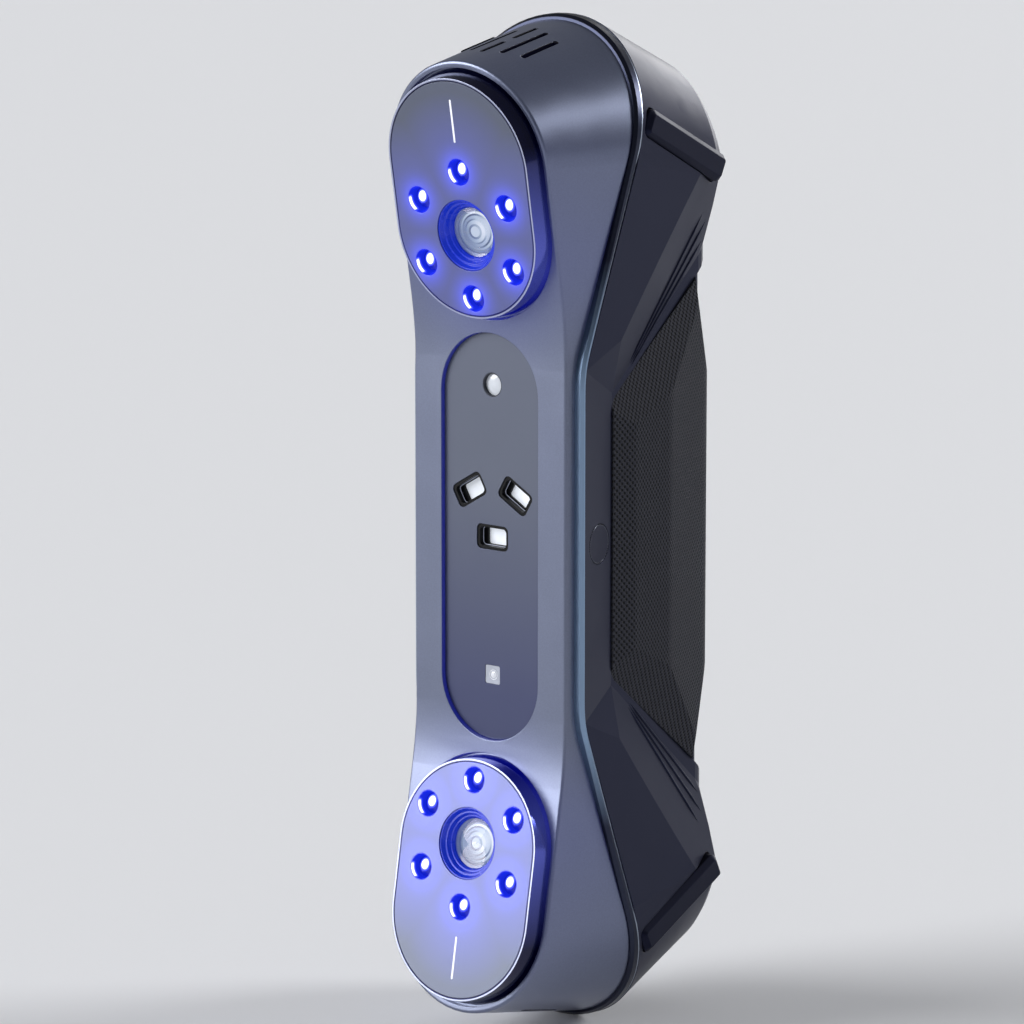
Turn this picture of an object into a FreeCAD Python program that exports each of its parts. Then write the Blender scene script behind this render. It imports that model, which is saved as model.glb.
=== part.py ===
import FreeCAD, Part
import math
import os

# Hand-held structured-light 3D scanner, drawn upright as it is held and stored.
# X runs across it, positive on the right of a viewer who faces the cameras. Y runs from the
# camera side (negative) to the hand side (positive), Z runs up along its length. The origin is
# the middle of the scanner's box. Depths are written from the flat of the front face, and
# ORIGIN brings them to the frame. Sizes are millimetres.

os.makedirs("parts", exist_ok=True)
doc = FreeCAD.newDocument("hand_scanner")
V = FreeCAD.Vector
X_AXIS, Y_AXIS, Z_AXIS = V(1, 0, 0), V(0, 1, 0), V(0, 0, 1)

# ---------------------------------------------------------------- driving sizes

SIZES = [
    ("origin_depth", 18.4, "from the front face back to the middle of the whole depth"),
    ("half_height", 107.75, "half the length of the whole scanner"),
    ("seam_waist", 23.0, "half width at the seam, waist"),
    ("seam_end_radius", 25.9, "half width at the seam, ends"),
    ("seam_depth", 3.4, "seam between trim band and rear housing at the waist"),
    ("seam_tilt", 17.3, "degrees, the seam above and below the waist"),
    ("seam_bend", 37.0, "height where the seam bends"),
    ("seam_bend_radius", 30.0, "soft bend of the seam"),
    ("waist_step", 2.5, "how much narrower the front face is than the seam, at the waist"),
    ("waist_lead", 3.0, "from the seam's bend up to where the front face starts to widen"),
    ("end_inset", 27.55, "from the scanner's end in to the centre of the shell's round end"),
    ("end_step", 3.85, "how much smaller that end is at the front plane than at the seam"),
    ("side_draft", 11.0, "degrees, how much the shell opens towards its back"),
    ("toe_in", 10.0, "degrees, how much each camera pod looks towards the middle"),
    ("toe_gap", 2.5, "from the bend of the front face up to the pod"),
    ("toe_bend_radius", 80.0, "soft bend of the front face"),
    ("front_wall", 3.2, "front shell, thickness behind the face"),
    ("side_wall", 2.0, "front shell, thickness of the flanks"),
    ("rim_round", 0.6, "rounding of the front shell's outer rim"),
    ("shell_edge_step", 1.0, "from the back edge of the shell to the seam, at the waist"),
    ("shell_edge_tilt", 16.0, "degrees, the same edge above and below the waist"),
    ("band_chamfer", 0.6, "bevel on the trim band's outer front edge"),
    ("band_width", 3.4, "trim band, measured inwards"),
    ("slope_fall", 26.0, "degrees, fall of the rear housing's top and bottom"),
    ("back_plane", 49.4, "flat back of the rear housing"),
    ("waist_taper", 1.0, "how much the flank comes in towards the back, at the waist"),
    ("end_taper", 1.1, "the same at the ends"),
    ("end_back_in", 0.9, "how much narrower the ends are at the back than at the seam"),
    ("end_back_flat", 5.0, "half of the flat between the ends' corners at the back"),
    ("back_round", 5.0, "rounding of the rear housing's back edge, along its flanks"),
    ("top_round_share", 0.4, "the same rounding at the ends, as a share of it"),
    ("panel_front_lean", 2.1, "how much the side panel comes in up to the grip"),
    ("neck_in", 3.2, "how much narrower the back of the waist is than the seam"),
    ("neck_half_height", 66.0, "half height of the waist behind the back"),
    ("grip_front", 14.7, "front edge of the grips"),
    ("grip_front_height", 29.3, "half height of the grips' front edge"),
    ("grip_slant", 38.4, "degrees, slant of the grips' upper and lower edges"),
    ("grip_depth", 1.2, "how deep the grips are let into the housing"),
    ("grip_back_depth", 2.5, "the same at the flat back"),
    ("grip_proud", 0.5, "how far the grips stand out of the flat back"),
    ("grip_crown_out", 0.8, "how far the grips' ridge stands out of the seam's waist"),
    ("grip_crown_depth", 31.0, "where that ridge runs"),
    ("grip_corner_out", 0.8, "how far the grips' rear corner stands out of the neck"),
    ("housing_wall", 2.6, "rear housing wall at the top and bottom"),
    ("housing_flank_wall", 6.0, "rear housing at the flanks, where bars and grips are let in"),
    ("neck_wall", 2.6, "rear housing wall at the neck"),
    ("back_wall", 4.2, "rear housing behind, where the grips and the cover are let in"),
    ("pod_inset", 43.51, "from the scanner's end in to each camera's axis on its face plate"),
    ("pod_border", 3.55, "shell left beside a pod, at the front plane"),
    ("pod_flare", 0.9, "extra half width of a pod at its foot"),
    ("pod_above", 33.3, "from the camera axis to the pod's far end"),
    ("pod_below", 17.8, "from the camera axis to the pod's near end"),
    ("pod_proud", 3.763, "how far a pod stands out of the shell"),
    ("pod_seat", 1.337, "how deep a pod is let into the shell"),
    ("pod_gap", 0.4, "groove around a pod"),
    ("plate_thick", 1.4, "pod face plate"),
    ("plate_margin", 0.7, "rim of the pod left around its face plate"),
    ("lens_bore", 7.65, "radius of the camera opening"),
    ("lens_radius", 5.3, "radius of the camera's front lens"),
    ("lens_depth", 2.7, "edge of the front lens behind the face plate"),
    ("lens_rise", 0.9, "bulge of that lens"),
    ("barrel_length", 11.75, "lens barrel"),
    ("module_size", 19.0, "camera module behind the barrel, side"),
    ("module_length", 4.5, "camera module, along the camera's axis"),
    ("led_ring", 13.5, "radius of the ring of lamps"),
    ("led_hole", 2.9, "radius of a lamp opening"),
    ("led_size", 3.0, "lamp body, side"),
    ("led_height", 1.6, "lamp body, height"),
    ("led_count", 6, "lamps on a pod"),
    ("board_thick", 1.0, "lamp boards"),
    ("centre_radius", 13.17, "half width of the recess in the middle"),
    ("centre_gap", 3.14, "from the end of that recess to the pods"),
    ("centre_recess", 1.0, "depth of the centre plate below the face"),
    ("centre_thick", 1.2, "centre plate"),
    ("emitter_inset", 11.1, "from the recess's upper end down to the pattern emitter"),
    ("colour_inset", 13.9, "from the recess's lower end up to the colour camera"),
    ("emitter_radius", 2.5, "lens of the pattern emitter"),
    ("colour_size", 3.9, "window of the colour camera, side"),
    ("vent_width", 1.25, "cooling slots"),
    ("vent_pitch", 4.1, "spacing of the slot rows"),
    ("vent_middle", 6.4, "depth of the middle of the slots"),
    ("laser_width", 8.5, "laser modules, across"),
    ("laser_height", 5.3, "laser modules, height"),
    ("laser_spread", 6.2, "from the middle out to the two slanted laser modules"),
    ("laser_rise", 9.4, "height of those two"),
    ("laser_turn", 30.0, "degrees, slant of those two"),
    ("laser_step", 0.6, "step round the inside of a laser module"),
    ("bench_front", 14.0, "front face of the optical bench"),
    ("bench_thick", 3.0, "optical bench"),
    ("bench_half_width", 14.0, "optical bench"),
    ("bench_inset", 49.75, "from the scanner's end in to the end of the bench"),
    ("post_radius", 2.6, "posts of the bench"),
    ("main_board_depth", 28.0, "front face of the main board"),
    ("main_board_thick", 1.2, "main board"),
    ("main_board_top", 40.0, "upper end of the main board"),
    ("button_radius", 4.12, "side button"),
    ("button_back", 0.3, "how far behind the middle of its panel the side button sits"),
    ("button_clearance", 0.15, "gap round the side button"),
    ("button_travel", 0.6, "travel of the side button"),
    ("tripod_minor_radius", 2.6, "quarter inch, 20 turns per inch, inside the thread"),
    ("tripod_insert_radius", 4.4, "outside of the brass insert"),
    ("tripod_insert_length", 8.5, "brass insert"),
    ("bumper_width", 6.0, "bumper bars, across"),
    ("bumper_proud", 0.3, "how far the bumper bars stand out of the seam's end"),
    ("bumper_seat", 5.3, "thickness of the bumper bars"),
    ("bumper_length", 28.6, "bumper bars, along"),
    ("bumper_fall", 26.0, "degrees, fall of the bars towards the back"),
    ("bumper_start", 21.8, "depth of the front end of the bars"),
    ("bumper_drop", 21.05, "from the scanner's end in to that end of the bars"),
    ("cover_half_width", 10.6, "rear cover"),
    ("cover_half_height", 47.0, "rear cover"),
    ("cover_thick", 1.8, "rear cover"),
    ("screw_head_radius", 1.9, "cover and bench screws"),
]

# Sizes that follow from the ones above.
FOLLOWING = [
    ("waist_half_width", "seam_waist - waist_step", "front face, half its width at the waist"),
    ("waist_half_height", "seam_bend + waist_lead", "where the front face starts to widen"),
    ("end_centre", "half_height - end_inset", "height of the centre of each rounded end"),
    ("end_radius", "seam_end_radius - end_step", "radius of the rounded ends, at the front plane"),
    ("end_middle", "half_height - seam_end_radius", "height of the centre of the seam's ends"),
    ("shell_edge_depth", "seam_depth - shell_edge_step", "back edge of the shell at the waist"),
    ("end_back_half", "seam_end_radius - end_back_in", "half width of the ends at the back"),
    ("neck_half_width", "seam_waist - neck_in", "half width of the housing at the back of the waist"),
    ("grip_crown", "seam_waist + grip_crown_out", "half width over the grips' ridge"),
    ("grip_corner", "neck_half_width + grip_corner_out", "half width over their rear corner"),
    ("grip_back", "back_plane + grip_proud", "back of the grips"),
    ("room_waist", "neck_half_width - neck_wall", "half width of the hollow at the waist"),
    ("pod_centre", "half_height - pod_inset", "height of each camera's axis on its face plate"),
    ("pod_radius", "end_radius - pod_border", "half width of a pod at its front"),
    ("pod_depth", "pod_proud + pod_seat", "pod body, front to back"),
    ("toe_bend", "pod_centre - pod_below - toe_gap", "height where the front face bends"),
    ("pod_face_depth", "-(pod_centre - toe_bend) * tan(toe_in * 1deg) - pod_proud / cos(toe_in * 1deg)",
     "depth of a pod's face at the camera's axis"),
    ("centre_half_height", "pod_centre - pod_below - centre_gap", "half height of the recess"),
    ("bench_half_height", "half_height - bench_inset", "optical bench"),
    ("button_depth", "(seam_depth + grip_front) / 2 + button_back", "depth of the side button's centre"),
    ("bumper_face", "seam_end_radius + bumper_proud", "half width over the bumper bars"),
    ("bumper_floor", "bumper_face - bumper_seat", "depth to which the bars are let in"),
]

sheet = doc.addObject("Spreadsheet::Sheet", "sizes")
for row, (alias, value, note) in enumerate(SIZES + FOLLOWING, start=1):
    sheet.set("A%d" % row, note)
    sheet.setAlias("B%d" % row, alias)
for row, (alias, value, note) in enumerate(SIZES + FOLLOWING, start=1):
    sheet.set("B%d" % row, "=" + str(value))
doc.recompute()
S = {alias: float(sheet.get(alias)) for alias, value, note in SIZES + FOLLOWING}
ORIGIN = V(0, -S["origin_depth"], 0)


def tangent(degrees):
    return math.tan(math.radians(degrees))


# ---------------------------------------------------------------- drawing helpers

FRONT = FreeCAD.Rotation(X_AXIS, 90)          # sketch x, y = X, Z; its normal looks forward
SIDE = FreeCAD.Rotation(V(1, 1, 1), 120)      # sketch x, y = Y, Z; its normal looks to +X
TOP = FreeCAD.Rotation()                      # sketch x, y = X, Y


def sketch(name, edges, rotation, base=V(0, 0, 0)):
    """A sketch holding ready-made edges, on a plane turned by rotation through base."""
    item = doc.addObject("Sketcher::SketchObject", name)
    item.Placement = FreeCAD.Placement(base + ORIGIN, rotation)
    item.addGeometry(edges, False)
    return item


def segment(a, b):
    return Part.LineSegment(V(a[0], a[1], 0), V(b[0], b[1], 0))


def rounded(corners):
    """Closed outline through corners (x, y, radius); a radius of 0 keeps the corner sharp."""
    count = len(corners)
    starts, ends, arcs = [], [], []
    for index, (x, y, radius) in enumerate(corners):
        here = V(x, y, 0)
        before = V(*corners[index - 1][:2], 0) - here
        after = V(*corners[(index + 1) % count][:2], 0) - here
        before.normalize()
        after.normalize()
        half = before.getAngle(after) / 2
        reach = radius / math.tan(half) if radius else 0.0
        starts.append(here + before * reach)
        ends.append(here + after * reach)
        middle = before + after
        if radius:
            middle.normalize()
            arcs.append(here + middle * (radius / math.sin(half) - radius))
        else:
            arcs.append(None)
    edges = []
    for index in range(count):
        if arcs[index]:
            edges.append(Part.Arc(starts[index], arcs[index], ends[index]))
        following = starts[(index + 1) % count]
        if ends[index].distanceToPoint(following) > 1e-6:
            edges.append(Part.LineSegment(ends[index], following))
    return edges


def stadium(radius, low, high, centre=0.0):
    """Upright stadium whose round ends reach down to low and up to high."""
    bottom, top = low + radius, high - radius
    left, right = centre - radius, centre + radius
    return [
        Part.Arc(V(right, top, 0), V(centre, high, 0), V(left, top, 0)),
        segment((left, top), (left, bottom)),
        Part.Arc(V(left, bottom, 0), V(centre, low, 0), V(right, bottom, 0)),
        segment((right, bottom), (right, top)),
    ]


def box_outline(width, height, radius, turn=0.0, centre=(0.0, 0.0)):
    """Rounded rectangle about a centre, turned by degrees."""
    c, s = math.cos(math.radians(turn)), math.sin(math.radians(turn))
    corners = []
    for sx, sy in ((1, 1), (-1, 1), (-1, -1), (1, -1)):
        x, y = sx * width / 2, sy * height / 2
        corners.append((centre[0] + c * x - s * y, centre[1] + s * x + c * y, radius))
    return rounded(corners)


def circle(radius, centre=(0.0, 0.0)):
    return [Part.Circle(V(centre[0], centre[1], 0), V(0, 0, 1), radius)]


def bind(item, **values):
    """Set properties; a value given as text is an expression on the sizes sheet."""
    for key, value in values.items():
        if isinstance(value, str):
            item.setExpression(key, value)
        else:
            setattr(item, key, value)
    return item


def extrude(name, profile, direction, forward, backward=0.0, taper=0.0):
    """Solid from a sketch along a direction."""
    item = doc.addObject("Part::Extrusion", name)
    item.Base = profile
    item.DirMode = "Custom"
    item.Dir = direction
    item.Solid = True
    return bind(item, LengthFwd=forward, LengthRev=backward, TaperAngle=taper)


def loft(name, profiles):
    item = doc.addObject("Part::Loft", name)
    item.Sections = profiles
    item.Solid = True
    item.Ruled = True
    return item


def revolve(name, profile, centre, axis):
    item = doc.addObject("Part::Revolution", name)
    item.Source = profile
    item.Base = centre + ORIGIN
    item.Axis = axis
    item.Angle = 360
    item.Solid = True
    return item


def cut(name, base, *tools):
    result = base
    for number, tool in enumerate(tools, start=1):
        item = doc.addObject("Part::Cut", name if number == len(tools) else "%s_%d" % (name, number))
        item.Base = result
        item.Tool = tool
        result = item
    return result


def group(name, pieces):
    """Separate solids that share one node."""
    item = doc.addObject("Part::Compound", name)
    item.Links = pieces
    return item


def common(name, base, *tools):
    """What base shares with each of the tools."""
    result = base
    for number, tool in enumerate(tools, start=1):
        item = doc.addObject("Part::Common", name if number == len(tools) else "%s_%d" % (name, number))
        item.Base = result
        item.Tool = tool
        result = item
    return result


def exact_common(name, base, tool):
    """What two solids share, at full precision, so that its edges can be softened afterwards."""
    doc.recompute()
    item = doc.addObject("Part::Feature", name)
    item.Shape = base.Shape.common(tool.Shape)
    return item


def fuse(name, *pieces):
    item = doc.addObject("Part::MultiFuse", name)
    item.Shapes = list(pieces)
    item.Refine = True
    return item


def mirror(name, source, normal):
    item = doc.addObject("Part::Mirroring", name)
    item.Source = source
    item.Base = V(0, 0, 0)
    item.Normal = normal
    return item


def soften(kind, name, base, size, chosen):
    """Fillet or chamfer the edges of base for which chosen(edge) holds."""
    doc.recompute()
    item = doc.addObject(kind, name)
    item.Base = base
    item.Edges = [(n, size, size) for n, edge in enumerate(base.Shape.Edges, start=1) if chosen(edge)]
    return item


def middle_of(edge):
    first, last = edge.ParameterRange
    return edge.valueAt((first + last) / 2) - ORIGIN


def at(y, z=0.0, x=0.0):
    return V(x, y, z)


NODES = {}


def node(name, item):
    """Register a finished piece under the name of its file."""
    item.Label = name
    NODES[name] = item
    return item


# ---------------------------------------------------------------- front shell

BEYOND = 10.25                                 # how far construction solids reach past the scanner
REACH = S["half_height"] + BEYOND
WIDE = S["seam_end_radius"] + BEYOND


def leaning(depth, bend, tilt, height):
    """Depth, at a height, of a line that leans by tilt beyond its bend."""
    return depth + max(0.0, abs(height) - bend) * tangent(tilt)


def flank_angle(half, bend, radius, centre):
    """Angle of a flank that starts at (half, bend) and touches the round end."""
    rise = centre - bend
    return math.atan2(rise, half) - math.acos(radius / math.hypot(half, rise))


def flank_points(half, radius, centre, angle):
    """Where a flank starts at half from the middle, and where it touches the round end."""
    bend = centre - (radius - half * math.cos(angle)) / math.sin(angle)
    return (half, bend), (radius * math.cos(angle), centre - radius * math.sin(angle))


def shell_corners(depth, inset):
    """Corners of the shell's flanks at a depth, drawn in by inset, and the radius of its round ends."""
    grow = depth * tangent(S["side_draft"]) - inset
    angle = flank_angle(S["waist_half_width"], S["waist_half_height"], S["end_radius"], S["end_centre"])
    radius = S["end_radius"] + grow
    (half, bend), touch = flank_points(S["waist_half_width"] + grow, radius, S["end_centre"], angle)
    right = [(touch[0], -touch[1], 0), (half, -bend, 0), (half, bend, 0), (touch[0], touch[1], 0)]
    return right + [(-x, -z, 0) for x, z, _ in right], radius


def shell_form(name, inset=0.0):
    """Dog bone that opens towards its back: a cone at either end and flat flanks that touch both."""
    front = leaning(0.0, S["toe_bend"], -S["toe_in"], REACH) - BEYOND
    back = leaning(S["seam_depth"], S["seam_bend"], S["seam_tilt"], REACH)
    sections, radii = [], []
    for tag, depth in (("front", front), ("back", back)):
        corners, radius = shell_corners(depth, inset)
        sections.append(sketch("%s_%s" % (name, tag), rounded(corners), FRONT, at(depth)))
        radii.append(radius)
    cones = []
    for tag, way in (("upper", 1), ("lower", -1)):
        cone = bind(doc.addObject("Part::Cone", "%s_%s" % (name, tag)),
                    Radius1=radii[0], Radius2=radii[1], Height=back - front)
        # The cone's own seam line is turned towards the waist, inside the flanks.
        turned = FreeCAD.Rotation(Z_AXIS * -way, X_AXIS * -way, Y_AXIS, "ZXY")
        cone.Placement = FreeCAD.Placement(V(0, front, way * S["end_centre"]) + ORIGIN, turned)
        cones.append(cone)
    return fuse(name, loft(name + "_flanks", sections), *cones)


def edge_line(depth, tilt, bend, radius, side):
    """Points of a line across the side view that leans back (or forward) beyond its bends."""
    return [(leaning(depth, bend, tilt, REACH), side * REACH, 0), (depth, side * bend, radius)]


def profile(front, back):
    """Closed side-view outline between two lines, each (depth, tilt, bend, radius)."""
    corners = edge_line(*front, -1)
    corners += list(reversed(edge_line(*front, 1)))
    corners += edge_line(*back, 1)
    corners += list(reversed(edge_line(*back, -1)))
    return rounded(corners)


def side_prism(name, front, back):
    return extrude(name, sketch(name + "_profile", profile(front, back), SIDE), X_AXIS, WIDE, WIDE)


FACE_LINE = (0.0, -S["toe_in"], S["toe_bend"], S["toe_bend_radius"])
SHELL_EDGE = (S["shell_edge_depth"], S["shell_edge_tilt"], S["seam_bend"], S["seam_bend_radius"])
SEAM_LINE = (S["seam_depth"], S["seam_tilt"], S["seam_bend"], S["seam_bend_radius"])


def shifted(line, by):
    return (line[0] + by,) + line[1:]


shell_outer = exact_common("shell_outer", shell_form("shell_body"),
                           side_prism("shell_side", FACE_LINE, SHELL_EDGE))


def on_front_rim(edge):
    """Edges between the front face and the flanks."""
    point = middle_of(edge)
    face = leaning(0.0, S["toe_bend"], -S["toe_in"], point.z)
    beside = abs(point.x) > 0.5 or abs(point.z) > S["end_centre"]
    return beside and abs(point.y - face) < 0.8 and edge.Length > 0.3


shell_soft = soften("Part::Fillet", "shell_soft", shell_outer, S["rim_round"], on_front_rim)
shell_room = common("shell_room", shell_form("shell_inside", S["side_wall"]),
                    side_prism("shell_inside_side", shifted(FACE_LINE, S["front_wall"]),
                               shifted(SHELL_EDGE, 12.0)))


def pod_place(side):
    """Frame of a pod: its z axis looks out along the camera, its y axis runs up."""
    return FreeCAD.Placement(V(0, S["pod_face_depth"], side * S["pod_centre"]),
                             FreeCAD.Rotation(X_AXIS, 90 + side * S["toe_in"]))


def pod_outline(side, grow=0.0):
    """Outline of a pod in its own frame; the far end points away from the waist."""
    far, near = S["pod_above"] + grow, S["pod_below"] + grow
    if side > 0:
        return stadium(S["pod_radius"] + grow, -near, far)
    return stadium(S["pod_radius"] + grow, -far, near)


def in_pod(name, side, edges, start, length, taper=0.0):
    """Solid on a pod: edges drawn start behind its face, going back by length."""
    place = pod_place(side)
    base = place.multVec(V(0, 0, -start))
    drawn = sketch(name + "_outline", edges, place.Rotation, base)
    return extrude(name, drawn, place.Rotation.multVec(V(0, 0, -1)), length, 0.0, taper)


pod_tools = []
for tag, side in (("upper", 1), ("lower", -1)):
    foot = S["pod_flare"] + S["pod_gap"]
    pod_tools.append(in_pod(tag + "_pod_pocket", side, pod_outline(side, foot),
                            -6.0, "6 + sizes.pod_depth"))
    pod_tools.append(in_pod(tag + "_pod_opening", side, pod_outline(side, -1.6), 0.0, 12.0))


def centre_tool(name, inset, length):
    """Tool for the recess in the middle, or the opening behind it, from 3 mm before the face."""
    outline = stadium(S["centre_radius"] - inset, inset - S["centre_half_height"],
                      S["centre_half_height"] - inset)
    return extrude(name, sketch(name + "_outline", outline, FRONT, at(-3.0)), Y_AXIS, length)


centre_pocket = centre_tool("centre_pocket", 0.0, "3 + sizes.centre_recess + sizes.centre_thick")
centre_opening = centre_tool("centre_opening", 1.7, "6 + sizes.front_wall")

# Cooling slots through both ends: a short, a long, a split, a long and a short row.
VENT_ROWS = [(-2, -5.75, 5.75), (-1, -7.5, 7.5), (0, -9.1, -1.3), (0, 1.3, 9.1),
             (1, -7.5, 7.5), (2, -5.75, 5.75)]
vents = []
for number, (row, start, stop) in enumerate(VENT_ROWS, start=1):
    width = S["vent_width"]
    slot = box_outline(width, stop - start, width * 0.48,
                       centre=(row * S["vent_pitch"], S["vent_middle"] + (start + stop) / 2))
    vents.append(extrude("vent_%d" % number, sketch("vent_%d_outline" % number, slot, TOP,
                                                    V(0, 0, S["end_centre"] + 14)), Z_AXIS, 20.0))
upper_vents = group("upper_vents", vents)
lower_vents = mirror("lower_vents", upper_vents, Z_AXIS)

node("front_shell", cut("front_shell_solid", shell_soft, shell_room, *pod_tools,
                        centre_pocket, centre_opening, upper_vents, lower_vents))

# ---------------------------------------------------------------- trim band


def seam_outline(inset=0.0):
    """Outline of the seam looked at from the front."""
    angle = flank_angle(S["seam_waist"], S["seam_bend"], S["seam_end_radius"], S["end_middle"])
    radius = S["seam_end_radius"] - inset
    (half, bend), touch = flank_points(S["seam_waist"] - inset, radius, S["end_middle"], angle)
    edges = []
    for way in (1, -1):
        first, last = V(way * touch[0], way * touch[1], 0), V(-way * touch[0], way * touch[1], 0)
        edges.append(Part.Arc(first, V(0, way * (S["end_middle"] + radius), 0), last))
        edges.append(segment((-way * touch[0], way * touch[1]), (-way * half, way * bend)))
        edges.append(segment((-way * half, way * bend), (-way * half, -way * bend)))
        edges.append(segment((-way * half, -way * bend), (-way * touch[0], -way * touch[1])))
    return edges


band_body = extrude("band_body", sketch("band_outline", seam_outline(), FRONT, at(-5)), Y_AXIS, 45.0)
band_outer = exact_common("band_outer", band_body, side_prism("band_side", SHELL_EDGE, SEAM_LINE))


def on_band_front(edge):
    point = middle_of(edge)
    face = leaning(S["shell_edge_depth"], S["seam_bend"], S["shell_edge_tilt"], point.z)
    return abs(point.y - face) < 0.45 and edge.Length > 2


band_soft = soften("Part::Chamfer", "band_soft", band_outer, S["band_chamfer"], on_band_front)
band_inside = extrude("band_inside", sketch("band_inside_outline", seam_outline(S["band_width"]),
                                            FRONT, at(-8)), Y_AXIS, 50.0)
node("trim_band", cut("trim_band_solid", band_soft, band_inside))

# ---------------------------------------------------------------- rear housing

FALL = V(0, math.cos(math.radians(S["slope_fall"])), -math.sin(math.radians(S["slope_fall"])))
SEAM_LEAN = math.radians(S["seam_tilt"])
SEAM_ROTATION = FreeCAD.Rotation(X_AXIS, 90 - S["seam_tilt"])
SEAM_BASE = V(0, S["seam_depth"], S["seam_bend"])
SEAM_CENTRE = (S["end_middle"] - S["seam_bend"]) / math.cos(SEAM_LEAN)
BELOW = REACH * 1.3                            # how far a block for one end reaches past the other
SPREAD = 5.0                                   # how much its sides open on the way there
SEAM_FLAT = 0.5                                # half of the flat at the very top of the seam


def round_end(half, top, centre, flat):
    """Outline of an upper end: two quarter ellipses joined by a flat, and sides far down."""
    edges = []
    for side, first, last in ((1, -math.pi / 2, 0.0), (-1, 0.0, math.pi / 2)):
        middle = V(side * flat, centre, 0)
        ring = Part.Ellipse(V(side * flat, top, 0), middle - V(half - flat, 0, 0), middle)
        edges.append(Part.ArcOfEllipse(ring, first, last))
    edges.insert(1, segment((flat, top), (-flat, top)))
    foot = half + SPREAD
    edges.append(segment((-half, centre), (-foot, -BELOW)))
    edges.append(segment((-foot, -BELOW), (foot, -BELOW)))
    edges.append(segment((foot, -BELOW), (half, centre)))
    return edges


def seam_end(inset=0.0, narrow=0.0):
    """The upper end in the plane of the seam."""
    radius = S["seam_end_radius"] - inset
    return round_end(radius - narrow, SEAM_CENTRE + radius / math.cos(SEAM_LEAN), SEAM_CENTRE, SEAM_FLAT)


def slope_from(height, depth):
    """Height, at a depth, of the line that falls back from the seam at a height."""
    seam = leaning(S["seam_depth"], S["seam_bend"], S["seam_tilt"], height)
    return height - (depth - seam) * tangent(S["slope_fall"])


def slope_top(depth):
    """Height of the sloping top of the rear housing at a depth."""
    return slope_from(S["half_height"], depth)


def slope_centre(depth):
    """Height at which the rounding of the sloping end starts, at a depth."""
    return slope_from(S["end_middle"], depth)


END_DEPTH = S["back_plane"] + 1.0
END_GROWTH = 0.035                             # how fast the ends get wider from the back to the seam
FLANK_OVER = (1.1, 6.2)                        # the flank's tip beyond the middle of the end: out, up


def end_block(name):
    """Upper end of the housing, lofted from the seam to a squarer outline behind the back."""
    back = round_end(S["end_back_half"], slope_top(END_DEPTH), slope_centre(END_DEPTH), S["end_back_flat"])
    return loft(name, [
        sketch(name + "_lead", seam_end(), SEAM_ROTATION, SEAM_BASE - FALL * 8.0),
        sketch(name + "_seam", seam_end(), SEAM_ROTATION, SEAM_BASE),
        sketch(name + "_back", back, FRONT, at(END_DEPTH))])


def flank(depth):
    """Half widths of the housing's flank at a depth and the two heights it runs between."""
    share = (depth - S["seam_depth"]) / (S["back_plane"] - S["seam_depth"])
    half = S["seam_waist"] - share * S["waist_taper"]
    wide = S["seam_end_radius"] + FLANK_OVER[0] - share * S["end_taper"]
    bend = S["seam_bend"] * (1 - share / 4)
    return half, wide, bend, S["end_middle"] + FLANK_OVER[1]


def flank_section(depth):
    """Straight-sided outline of the housing across its length, at a depth."""
    half, wide, bend, tall = flank(depth)
    right = [(wide, -REACH), (wide, -tall), (half, -bend), (half, bend), (wide, tall), (wide, REACH)]
    left = [(-x, -z) for x, z in right]
    return rounded([(x, z, 0) for x, z in right + left])


housing_flanks = loft("housing_flanks", [
    sketch("housing_flank_" + tag, flank_section(depth), FRONT, at(depth))
    for tag, depth in (("front", S["seam_depth"] - BEYOND), ("back", S["back_plane"] + BEYOND))])
housing_upper = end_block("housing_upper")
housing_lower = mirror("housing_lower", housing_upper, Z_AXIS)
BACK_LINE = (S["back_plane"], 0.0, S["seam_bend"], 0)
housing_block = common("housing_block", housing_flanks, housing_upper, housing_lower,
                       side_prism("housing_side", SEAM_LINE, BACK_LINE))

# The waist is pinched by a tool on either side: its inner face is the leaning side panel and
# the back of the waist, and its sloping ends leave the long facets above and below the grips.
FACET_RISE = 4.64                              # height gained per millimetre outwards
FACET_LEAD = (3.2, 1.7)                        # from the seam's bend, and from the grip, up to the facets
PANEL_RATE = S["panel_front_lean"] / (S["grip_front"] - S["seam_depth"])
PINCH = [
    (S["seam_depth"] - 6.0, S["seam_waist"] + 6.0 * PANEL_RATE, S["seam_bend"] + FACET_LEAD[0]),
    (S["grip_front"], S["seam_waist"] - S["panel_front_lean"], S["grip_front_height"] + FACET_LEAD[1]),
    (S["back_plane"] + 6.0, S["neck_half_width"], S["neck_half_height"]),
]


def pinch(name):
    """Tool that takes the waist in on the right."""
    sections = []
    for number, (depth, half, tall) in enumerate(PINCH, start=1):
        far = half + 14.0
        top = tall + 14.0 * FACET_RISE
        corners = [(half, -tall, 0), (far, -top, 0), (far, top, 0), (half, tall, 0)]
        sections.append(sketch("%s_%d" % (name, number), rounded(corners), FRONT, at(depth)))
    return loft(name, sections)


pinch_right = pinch("pinch_right")
pinch_left = mirror("pinch_left", pinch_right, X_AXIS)
housing_waisted = cut("housing_waisted", housing_block, pinch_right, pinch_left)


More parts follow.
